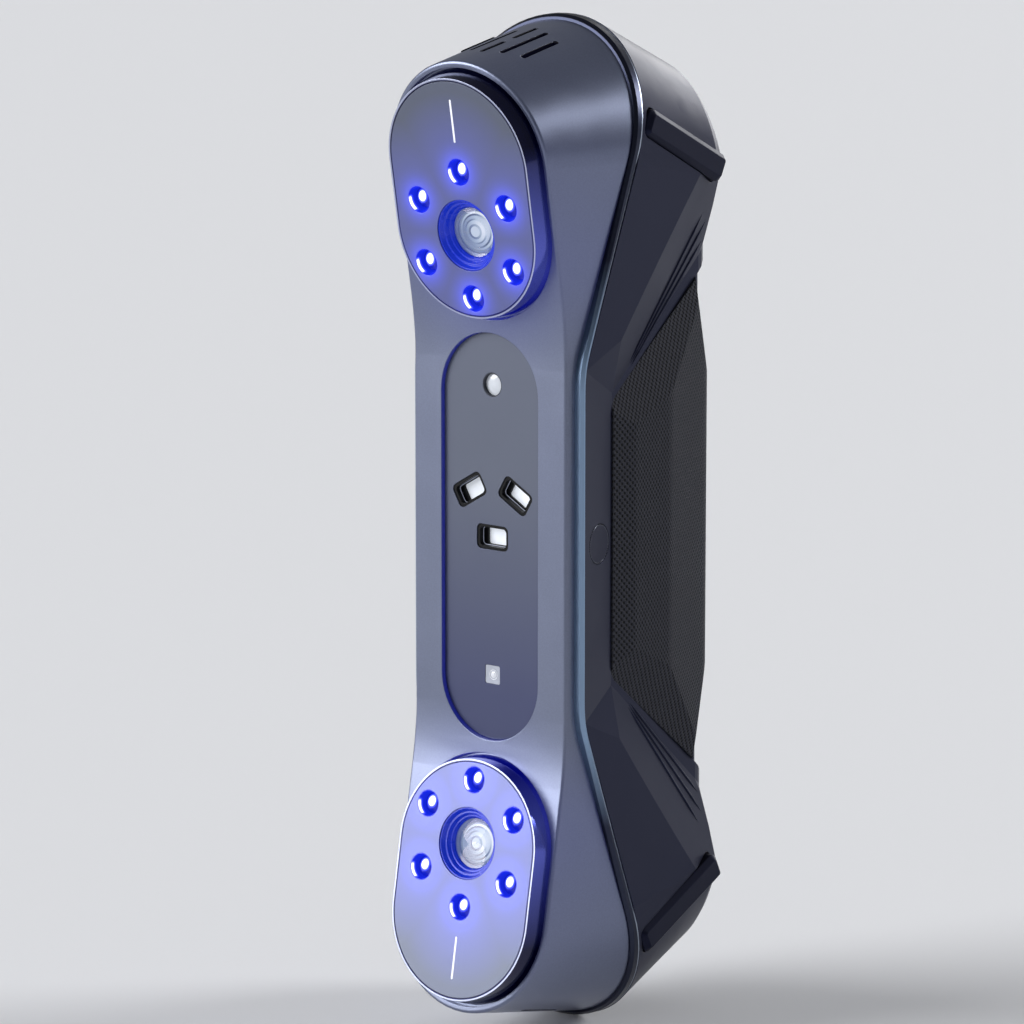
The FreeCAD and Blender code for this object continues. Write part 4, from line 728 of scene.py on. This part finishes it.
def lamp_spots(sizes):
    """Places of the lamps in the frame of a pod."""
    angles = [math.pi / 2 + math.tau * n / sizes.lamp_count for n in range(sizes.lamp_count)]
    return [(sizes.lamp_ring * math.cos(a), sizes.lamp_ring * math.sin(a)) for a in angles]


# ---------------------------------------------------------------- operators

# Grazing light stays white on the housing, and what it throws back head-on is navy.
NAVY_GLOSS = "#909cec"


class SCANNER_OT_housing(bpy.types.Operator):
    """Finishes the front shell, the trim band, the rear housing and its cover"""
    bl_idname = "scanner.housing"
    bl_label = "Shell and housing"

    def execute(self, context):
        colours = context.scene.scanner_colours
        paint(shell_lacquer("lacquered_alloy_shell", colours.shell), "front_shell")
        # Dark ends of painted reflection and a pale front edge of painted highlight.
        paint(anodised_band("anodised_aluminium_band", colours.band, "#2b2f40", "#aab4c6"), "trim_band")
        abs_plastic = moulded_plastic("spark_eroded_abs_housing", colours.housing, 0.36,
                                      specular_tint=NAVY_GLOSS)
        paint(abs_plastic, "rear_housing", "rear_cover")
        return {"FINISHED"}


SHADE_STRIP_HALF, SHADE_STRIP_SINK = 0.6, 0.68  # half width of a black strip of painted shade in a slot, and how deep its middle lies
SLOT_END = 0.35  # how far it stays away from the slot's ends
SLOT_BESIDE = 0.95  # the shell's face is found this far beside a slot's middle
BEYOND_END, BEYOND_SIDE = 140, 60  # well outside the scanner, where the rays that find a face start


class SCANNER_OT_vents(bpy.types.Operator):
    """Lays a black strip in every cooling slot: painted shade, where shade falls inside it"""
    bl_idname = "scanner.vents"
    bl_label = "Vent shade strips"

    def execute(self, context):
        # Painted shade: a near-black strip without gloss stands in for the shade inside each slot.
        slot_shade = moulded_plastic("black_slot_shade", "#030304", 0.9, 0.5, 0.1, 0.0, 0.0)
        strips = rib_tree("vent_strips", slot_shade)
        shell = BVHTree.FromObject(NODES["front_shell"], context.evaluated_depsgraph_get())
        for end, way in ENDS:
            places, edges = [], []
            for row, start_at, stop_at in VENT_ROWS:
                edges.append((len(places), len(places) + 1))
                for y in (start_at + SLOT_END, stop_at - SLOT_END):
                    above = Vector((row * VENT_PITCH + SLOT_BESIDE, VENT_DEPTH + y, way * BEYOND_END))
                    spot = shell.ray_cast(above * MM, Vector((0, 0, -way)))[0]
                    if spot is None:
                        raise RuntimeError("a cooling slot runs off the shell")
                    places.append((row * VENT_PITCH, VENT_DEPTH + y, spot.z / MM - way * SHADE_STRIP_SINK))
            grow("vent_foam_" + end, strips, {"Width": SHADE_STRIP_HALF * MM, "Spacing": 0.4 * MM, "Fullness": 40.0},
                 base=points_mesh("vent_lines_" + end, places, edges))
        return {"FINISHED"}


MARK_WIDTH, MARK_HEIGHT = 0.48, 24.3  # inlaid line of a pod, and how far its middle is from the camera


class SCANNER_OT_pods(bpy.types.Operator):
    """Finishes the two camera pods and inlays the line on each face plate"""
    bl_idname = "scanner.pods"
    bl_label = "Camera pods"

    def execute(self, context):
        colours, sizes = context.scene.scanner_colours, context.scene.scanner_sizes
        white = "#f2f4ff"
        # Painted light: the white inlay gives off a faint light.
        enamel = gloss_plastic("white_enamel_inlay", white, 0.3, 0.0, (white, 0.1))
        for tag, side in ENDS:
            # Navy is the dye; the lavender and deep blue are painted lamp light, the pale grey a painted
            # highlight.
            paint(dyed_pod(tag + "_polished_dyed_pod", "#13163c", "#5a64d0", "#020a8c", "#a9afc8", side),
                  tag + "_pod_body")
            # The lavender is painted lamp light round the lamps.
            paint(plate_with_painted_glow(tag + "_satin_lacquer_plate", colours.plate, "#666ca8", side,
                            lamp_spots(sizes)), tag + "_pod_plate")
            mark = inlay(tag + "_mark", sizes.mark_length, MARK_WIDTH, side * MARK_HEIGHT, -0.2, 0.02)
            keep(tag + "_mark", mark, enamel, pod_place(side))
        return {"FINISHED"}


CUP_RADIUS, CUP_DEPTH = 2.86, -3.48  # a lamp's cup; its wall runs down in rings (radius, z)
CUP_WALL = [(2.74, -0.04), (2.7, -0.3), (2.66, -0.6), (2.62, -0.9), (2.56, -1.3), (2.5, -1.8), (2.4, -2.4),
            (2.2, -3.3)]
CHIP_RADIUS, CHIP_EDGE, CHIP_RISE = 2.15, -1.75, 0.85


def cup_painted_light(x, y, z):
    """A reflector cup is deep blue with painted light; the chip's light is painted as a crescent on its wall,
    low on one side.
    """
    turn = (math.degrees(math.atan2(y, x)) - 205) % 360
    turn = min(turn, 360 - turn)
    if z < -1.0 or math.hypot(x, y) > 2.8:
        return 0.12
    return 0.12 + 1.1 * max(0.0, 1 - (turn / 40) ** 4) * min(1.0, (z + 1.0) / 0.4)


def chip_brightness(x, y, z):
    """A domed chip is deep blue to its edge, and white off its middle where a highlight is painted."""
    away = math.hypot((x - 0.1) / 0.85, y - 0.5)
    return 1.15 - max(0.0, away - 0.75) / 0.75


class SCANNER_OT_lamps(bpy.types.Operator):
    """Puts a cup with painted blue light and a domed chip in every lamp hole"""
    bl_idname = "scanner.lamps"
    bl_label = "Lamps"

    def execute(self, context):
        sizes = context.scene.scanner_sizes
        ring = {"Count": sizes.lamp_count, "Ring Radius": sizes.lamp_ring * MM}
        blues = [(0.0, "#0a1690"), (0.2, "#1c30e8"), (0.6, "#6f7dff"), (0.85, "#ffffff")]
        rings = [(CUP_RADIUS, -0.04), *CUP_WALL, (2.1, CUP_DEPTH), (CUP_RADIUS, CUP_DEPTH)]
        cup = paint_brightness(rings_mesh("cup", rings, 40, ring_shaped=True), cup_painted_light)
        foot = -3.45
        rings = dome(CHIP_RADIUS, CHIP_EDGE, CHIP_RISE, 9) + [(CHIP_RADIUS, foot), (0.02, foot)]
        chip = paint_brightness(rings_mesh("chip", rings, 32), chip_brightness)
        cups = ring_tree("lamp_cups", shining("blue_lit_reflector", blues, (0.8, 1.6), 0.2))
        chips = ring_tree("lamp_chips", shining("blue_chip_under_epoxy", blues, (0.8, 1.9), 0.1))
        # Painted lamp light: the lamps' ceramic packages give off blue light.
        ceramic = gloss_plastic("lit_ceramic_package", "#e8ecff", 0.3, painted_glow=("#2438ff", 1.0))
        for tag, side in ENDS:
            grow(tag + "_lamp_cups", cups, ring, pod_place(side), item=cup.copy())
            grow(tag + "_lamp_chips", chips, ring, pod_place(side), item=chip.copy())
            paint(ceramic, tag + "_lamps")
        return {"FINISHED"}


LENS_RADIUS, LENS_EDGE, LENS_RISE = 5.28, -2.7, 0.9  # front element of a camera's lens
ELEMENT_RADIUS, ELEMENT_EDGE, ELEMENT_RISE = 4.34, -4.1, 0.62


def lens_painted_reflections(x, y, z):
    """Painted reflections: rings and hooks of light that the elements inside a lens throw back, brightest on
    one side.
    """
    r, turn = math.hypot(x, y), math.atan2(y, x)
    bright = 0.62 + 0.22 * math.cos(turn - 0.35)
    if r < 1.15:
        return 0.8
    if r < 1.55:
        return bright - 0.18
    if r < 2.3:
        return bright + 0.1
    if r < 2.6:
        return bright - 0.3 * max(0.0, math.cos(2 * (turn - 2.2)))
    if r < 3.1:
        return bright
    if r < 3.45:
        return bright - 0.55 * max(0.0, math.cos(turn - 1.9), math.cos(turn + 0.75)) ** 4
    if r < 3.9:
        return 0.75 + 0.3 * math.cos(turn - 0.7)
    return 0.42


class SCANNER_OT_lenses(bpy.types.Operator):
    """Builds the camera lenses: front element, retaining ring and inner element"""
    bl_idname = "scanner.lenses"
    bl_label = "Camera lenses"

    def execute(self, context):
        glass = optical_glass("coated_optical_glass", "#f6f9ff", 105.0)
        # Painted lamp light: the retaining ring and the barrel give off a little light.
        metal = gloss_plastic("anodised_retaining_ring", "#8b97b4", 0.25, painted_glow=("#7d8cc8", 0.25))
        cool = [(0.0, "#27386a"), (0.35, "#7c8fb4"), (0.7, "#c9d9e8"), (1.0, "#ffffff")]
        # Painted reflections: the inner element's rings and hooks of light.
        inner = shining("magnesium_fluoride_coated_element", cool, (0.4, 0.85), 0.3)
        barrel = gloss_plastic("blue_lit_barrel", "#1428a8", 0.25, painted_glow=("#0c38e0", 0.3))
        foot = LENS_EDGE - 0.45
        rings = dome(LENS_RADIUS, LENS_EDGE, LENS_RISE) + [(LENS_RADIUS, foot), (0.02, foot)]
        front = rings_mesh("front_lens", rings, 64)
        rings = [(LENS_RADIUS, -3.3), (4.5, -3.35), (4.35, -3.6), (4.35, -4.4), (LENS_RADIUS, -4.4)]
        holder = rings_mesh("holder", rings, 64, ring_shaped=True)
        foot = ELEMENT_EDGE - 0.8
        rings = dome(ELEMENT_RADIUS, ELEMENT_EDGE, ELEMENT_RISE, 30) + [(ELEMENT_RADIUS, foot), (0.02, foot)]
        element = paint_brightness(rings_mesh("element", rings, 72), lens_painted_reflections)
        for tag, side in ENDS:
            paint(barrel, tag + "_lens_barrel")
            for name, model, finish, node in (("front", front, glass, (tag + "_camera_lens",)),
                                              ("ring", holder, metal, ()), ("inner", element, inner, ())):
                keep("%s_lens_%s" % (tag, name), model.copy(), finish, pod_place(side), stands_for=node)
        return {"FINISHED"}


# Thin wires of painted highlight round the lasers' mouths.
LASER_HIGHLIGHT = {"Width": 6.9 * MM, "Height": 3.8 * MM, "Corner": 0.8 * MM, "Wire": 0.08 * MM}
EMITTER_BORE, EMITTER_SLEEVE = 2.3, 2.48  # radii


class SCANNER_OT_centre(bpy.types.Operator):
    """Finishes the centre plate, the lasers, the pattern emitter and the colour camera"""
    bl_idname = "scanner.centre"
    bl_label = "Centre plate"

    def execute(self, context):
        paint(two_ended_plate("satin_anodised_centre_plate", "#525869", "#373d60"), "centre_plate")
        hood = gloss_plastic("black_laser_hood", "#040508", 0.3, 0.1, specular_ior_level=0.2)
        # Painted reflection: the laser windows give off a little light.
        window = coated_element("frosted_laser_window", "#dde2ea", 0.25, 0.4)
        silver = "#8c92a4"
        # Painted highlight: a thin silver wire that gives off light stands round each laser's mouth where its
        # edge would shine.
        wire = frame_tree("laser_highlight_wires", gloss_plastic("painted_edge_highlight", silver, 0.3, 0.0, (silver, 0.35)))
        for name, (across, height, turn) in LASERS.items():
            paint(hood, "laser_module_" + name)
            paint(window, "laser_window_" + name)
            grow("laser_frame_" + name, wire, LASER_HIGHLIGHT, front_place(height, LASER_MOUTH, turn, across))

        rings = [(EMITTER_SLEEVE, 0.25), (2.34, 0.25), (EMITTER_BORE, 0.1), (EMITTER_BORE, -1.5),
                 (EMITTER_SLEEVE, -1.5)]
        sleeve = rings_mesh("emitter_sleeve", rings, 48, ring_shaped=True)
        rings = dome(EMITTER_BORE, -0.5, 0.25) + [(EMITTER_BORE, -1.6), (0.02, -1.6)]
        lens = rings_mesh("emitter_lens", rings, 48)
        emitter = front_place(EMITTER_HEIGHT, PLATE_FACE + 0.3)
        # Painted reflection: the emitter lens gives off a faint light.
        opal = coated_element("opal_emitter_lens", "#c3c8d0", 0.18, 0.12)
        keep("emitter_lens", lens, opal, emitter, stands_for=("pattern_lens",))
        dark = moulded_plastic("black_emitter_sleeve", "#30333e", 0.5, 0.3, 0.004, 0.0)
        keep("emitter_sleeve", sleeve, dark, emitter)

        # Painted reflection: the colour camera's glass gives off a faint light.
        paint(coated_element("colour_camera_glass", "#a4a9b6", 0.15, 0.1), "colour_camera_window")
        rings = [(0.02, 0.06), (0.6, 0.06), (0.72, 0.0), (0.9, -0.02), (1.0, 0.05), (1.1, 0.05), (1.2, -0.1)]
        keep("colour_camera_eye", rings_mesh("colour_camera_eye", rings, 32),
             coated_element("white_camera_eye", "#dde0e8", 0.08),
             front_place(COLOUR_HEIGHT, PLATE_FACE + 0.1, 0.0, 0.2))
        return {"FINISHED"}


FAN_ANGLES = (43.5, 54.0)  # a grip corner's ribs lie between these, in degrees above level
FAN_START, FAN_STEP, FAN_STEPS = 9.0, 1.55, 25
FAN_MARGIN = 3.5  # the ribs stop this far before the flat back


class SCANNER_OT_grips(bpy.types.Operator):
    """Finishes the grips and the bumper bars, and lays the ribs that fan out from the grips"""
    bl_idname = "scanner.grips"
    bl_label = "Grips and bars"

    def execute(self, context):
        colours, sizes = context.scene.scanner_colours, context.scene.scanner_sizes
        rubber = dimpled_rubber("dimpled_rubber_grip", colours.grip, sizes.pit_pitch, sizes.pit_depth)
        nitrile = plain_rubber("nitrile_rubber_bar", "#14151e")
        housing = NODES["rear_housing"]
        wall = BVHTree.FromObject(housing, context.evaluated_depsgraph_get())
        ribs = rib_tree("fan_ribs", housing.material_slots[0].material)
        for hand, side in (("right", 1), ("left", -1)):
            paint(rubber, "grip_" + hand)
            for end, way in ENDS:
                paint(nitrile, "bumper_%s_%s" % (end, hand))
                places, edges = [], []
                for number in range(sizes.rib_count):
                    share = (number + 0.5) / sizes.rib_count
                    slope = math.radians(FAN_ANGLES[0] + (FAN_ANGLES[1] - FAN_ANGLES[0]) * share)
                    first = len(places)
                    for step in range(FAN_STEPS):
                        run = FAN_START + step * FAN_STEP
                        y = GRIP_CORNER[0] + run * math.cos(slope)
                        z = GRIP_CORNER[1] + run * math.sin(slope)
                        if y > BACK - FAN_MARGIN:
                            break
                        beside = Vector((side * BEYOND_SIDE, y, way * z))
                        spot = wall.ray_cast(beside * MM, Vector((-side, 0, 0)))[0]
                        if spot is None:
                            raise RuntimeError("a rib runs off the housing")
                        places.append(spot / MM)
                    edges += [(n, n + 1) for n in range(first, len(places) - 1)]
                name = "ribs_%s_%s" % (end, hand)
                grow(name, ribs, {"Width": sizes.rib_width * MM, "Spacing": 0.5 * MM, "Fullness": 9.0},
                     base=points_mesh(name, places, edges))
        return {"FINISHED"}


SCREW_PITCH, SCREW_CREST, SCREW_ROOT = 0.5, 0.98, 0.82
COVER_SCREW, BENCH_SCREW = 2.4, 6.4  # lengths
# Quarter inch, 20 turns to the inch: the root of the thread winds round at 1.27 mm a turn.
THREAD_TURN, THREAD_BORE, THREAD_DEPTH = 1.27, 2.62, 0.5
THREAD_START, THREAD_STEP, THREAD_STEPS = -0.35, 0.09, 92
INSERT_RADIUS, INSERT_MOUTH, INSERT_FACE, INSERT_FOOT = 4.36, 2.95, -0.1, -8.6


def torx_screw(length):
    """Pan-head screw with a six-lobed drive, turned so that its head looks to the back."""
    rings = [(0.02, -1.1 - length), (0.7, -1.1 - length), (SCREW_CREST, -0.8 - length)]
    for turn in range(int(length / SCREW_PITCH)):
        z = -0.9 - length + (turn + 0.5) * SCREW_PITCH
        rings += [(SCREW_CREST, z), (SCREW_ROOT, z + SCREW_PITCH / 2)]
    rings += [(SCREW_CREST, -1.15), (1.88, -1.1), (1.88, -0.55), (1.7, -0.22), (1.3, -0.04), (0.95, 0.0),
              (0.86, 0.0, 0.14), (0.8, -0.55, 0.14), (0.02, -0.6)]
    screw = rings_mesh("torx_screw", rings, 36, 6)
    screw.transform(Matrix.Rotation(math.radians(-90), 4, "X"))
    return screw


def thread_radius(z):
    """How far the thread is from its axis at one height, by the angle round it."""
    return lambda angle: THREAD_BORE + THREAD_DEPTH * abs((z / THREAD_TURN + angle / math.tau) % 1.0 * 2 - 1)


class SCANNER_OT_fasteners(bpy.types.Operator):
    """Puts in the screws and the threaded tripod insert"""
    bl_idname = "scanner.fasteners"
    bl_label = "Fasteners"

    def execute(self, context):
        spots = spots_tree("screws", machined_metal("zinc_plated_steel_screws", "#8d9097", 0.3, 0.2))
        for name, length, depth, (across, up) in (("rear_cover", COVER_SCREW, BACK - 0.12, COVER_SCREWS),
                                                  ("bench", BENCH_SCREW, BENCH_FACE, BENCH_SCREWS)):
            places = [(x * across, depth, z * up) for x in (1, -1) for z in (1, -1)]
            grow(name + "_torx_screws", spots, {"Size": 1.0}, base=points_mesh(name, places),
                 item=torx_screw(length), stands_for=(name + "_screws",))
        depths = [THREAD_START - step * THREAD_STEP for step in range(THREAD_STEPS)]
        rings = [(INSERT_RADIUS, INSERT_FACE), (INSERT_MOUTH, INSERT_FACE)]
        rings += [(thread_radius(z), z) for z in depths]
        rings += [(INSERT_MOUTH, INSERT_FOOT), (INSERT_RADIUS, INSERT_FOOT)]
        keep("tripod_thread", rings_mesh("tripod_thread", rings, 64, ring_shaped=True),
             machined_metal("turned_brass_insert", "#c9a55a", 0.26, 0.3), panel_place(-1),
             stands_for=("tripod_insert",))
        return {"FINISHED"}


class SCANNER_OT_button(bpy.types.Operator):
    """Finishes the side button and gives it its thin rim"""
    bl_idname = "scanner.button"
    bl_label = "Side button"

    def execute(self, context):
        colour = shade(context.scene.scanner_colours.housing, 0.85)
        paint(moulded_plastic("button_abs", colour, 0.4, specular_tint=NAVY_GLOSS), "side_button")
        rings = [(4.1, -0.25), (4.11, -0.02), (4.04, 0.03), (3.96, 0.03), (3.9, -0.02), (3.9, -0.25)]
        keep("button_rim", rings_mesh("button_rim", rings, 64, ring_shaped=True),
             machined_metal("gunmetal_rim", "#5a5d66", 0.2), panel_place(1), "button")
        return {"FINISHED"}


class SCANNER_OT_electronics(bpy.types.Operator):
    """Finishes the boards, the bench, the camera modules and the inlet"""
    bl_idname = "scanner.electronics"
    bl_label = "Electronics"

    def execute(self, context):
        paint(circuit_board("green_circuit_board", "#12502f"), "main_board", "upper_lamp_board",
              "lower_lamp_board", "button_switch")
        paint(machined_metal("milled_aluminium_bench", "#a8abb0", 0.34, 0.5), "optical_bench",
              "board_spacers")
        paint(moulded_plastic("black_module_case", "#15161a", 0.5, 0.3, 0.008, 0.2),
              "upper_camera_module", "lower_camera_module", "pattern_projector", "colour_camera")
        paint(machined_metal("drawn_steel_inlet", "#b3b6bc", 0.24, 0.4), "usb_inlet")
        return {"FINISHED"}


# Soft and far lamps, so that the floor is lit evenly: a key at the front left and two behind. Each has
# the direction it stands in, its strength and its width in degrees.
STAGE_LAMPS = {"key": ((-0.66, -0.66, 0.37), 3.5, 44), "rim": ((-0.2, 0.93, 0.25), 0.95, 36),
               "strip": ((0.55, 0.72, 0.42), 1.5, 18)}
ROOM_LIGHT = 0.2
CAMERA, AIM, FOCAL_LENGTH = (683.16, -827.35, 202.81), (0, -11.03, 4.42), 181.6


class SCANNER_OT_stage(bpy.types.Operator):
    """Sets the floor, the soft lamps, the pale surroundings and the camera"""
    bl_idname = "scanner.stage"
    bl_label = "Stage"

    def execute(self, context):
        scene = context.scene
        paper, _, shader, _, fibres = start("pale_paper_floor", "#eaebee", (2, 2.0), roughness=0.9,
                                            specular_ior_level=0.2)
        relief(shader, fibres, 0.02)
        shape = bmesh.new()
        bmesh.ops.create_circle(shape, cap_ends=True, segments=96, radius=40.0)
        mesh = bpy.data.meshes.new("floor")
        shape.to_mesh(mesh)
        shape.free()
        mesh.transform(Matrix.Translation((0, 0, CAD_BOX[0][2])))
        mesh.materials.append(paper)
        put_in("floor", mesh)

        for name, (side, strength, width) in STAGE_LAMPS.items():
            data = bpy.data.lights.new(name, "SUN")
            data.energy, data.angle = strength, math.radians(width)
            lamp = put_in(name, data)
            lamp.location = side
            lamp.rotation_euler = (-Vector(side)).to_track_quat("-Z", "Y").to_euler()

        world = bpy.data.worlds.new("pale_room")
        world.use_nodes = True
        scene.world = world
        feed(world.node_tree.nodes["Background"], ["#e9ebf0", ROOM_LIGHT])

        data = bpy.data.cameras.new("view")
        data.sensor_width, data.lens = 36.0, FOCAL_LENGTH
        data.clip_start, data.clip_end = 0.05, 100.0
        camera = put_in("view", data)
        camera.location = Vector(CAMERA) * MM
        camera.rotation_euler = (Vector(AIM) * MM - camera.location).to_track_quat("-Z", "Y").to_euler()
        scene.camera = camera
        scene.view_settings.view_transform = "Standard"
        return {"FINISHED"}


STEPS = (SCANNER_OT_housing, SCANNER_OT_vents, SCANNER_OT_pods, SCANNER_OT_lamps, SCANNER_OT_lenses,
         SCANNER_OT_centre, SCANNER_OT_grips, SCANNER_OT_fasteners, SCANNER_OT_button, SCANNER_OT_electronics,
         SCANNER_OT_stage)


class SCANNER_PT_panel(bpy.types.Panel):
    """Lists the steps and settings in the sidebar"""
    bl_idname = "SCANNER_PT_panel"
    bl_label = "Scanner"
    bl_space_type = "VIEW_3D"
    bl_region_type = "UI"
    bl_category = "Scanner"

    def draw(self, context):
        for settings in (context.scene.scanner_colours, context.scene.scanner_sizes):
            for key in settings.__annotations__:
                self.layout.prop(settings, key)
        for step in STEPS:
            self.layout.operator(step.bl_idname)


CLASSES = (ScannerColours, ScannerSizes) + STEPS + (SCANNER_PT_panel,)


def register():
    for item in CLASSES:
        bpy.utils.register_class(item)
    bpy.types.Scene.scanner_colours = bpy.props.PointerProperty(type=ScannerColours)
    bpy.types.Scene.scanner_sizes = bpy.props.PointerProperty(type=ScannerSizes)


def unregister():
    del bpy.types.Scene.scanner_sizes
    del bpy.types.Scene.scanner_colours
    for item in reversed(CLASSES):
        bpy.utils.unregister_class(item)


def main():
    register()
    for step in STEPS:
        group, name = step.bl_idname.split(".")
        getattr(getattr(bpy.ops, group), name)()


if __name__ == "__main__":
    main()
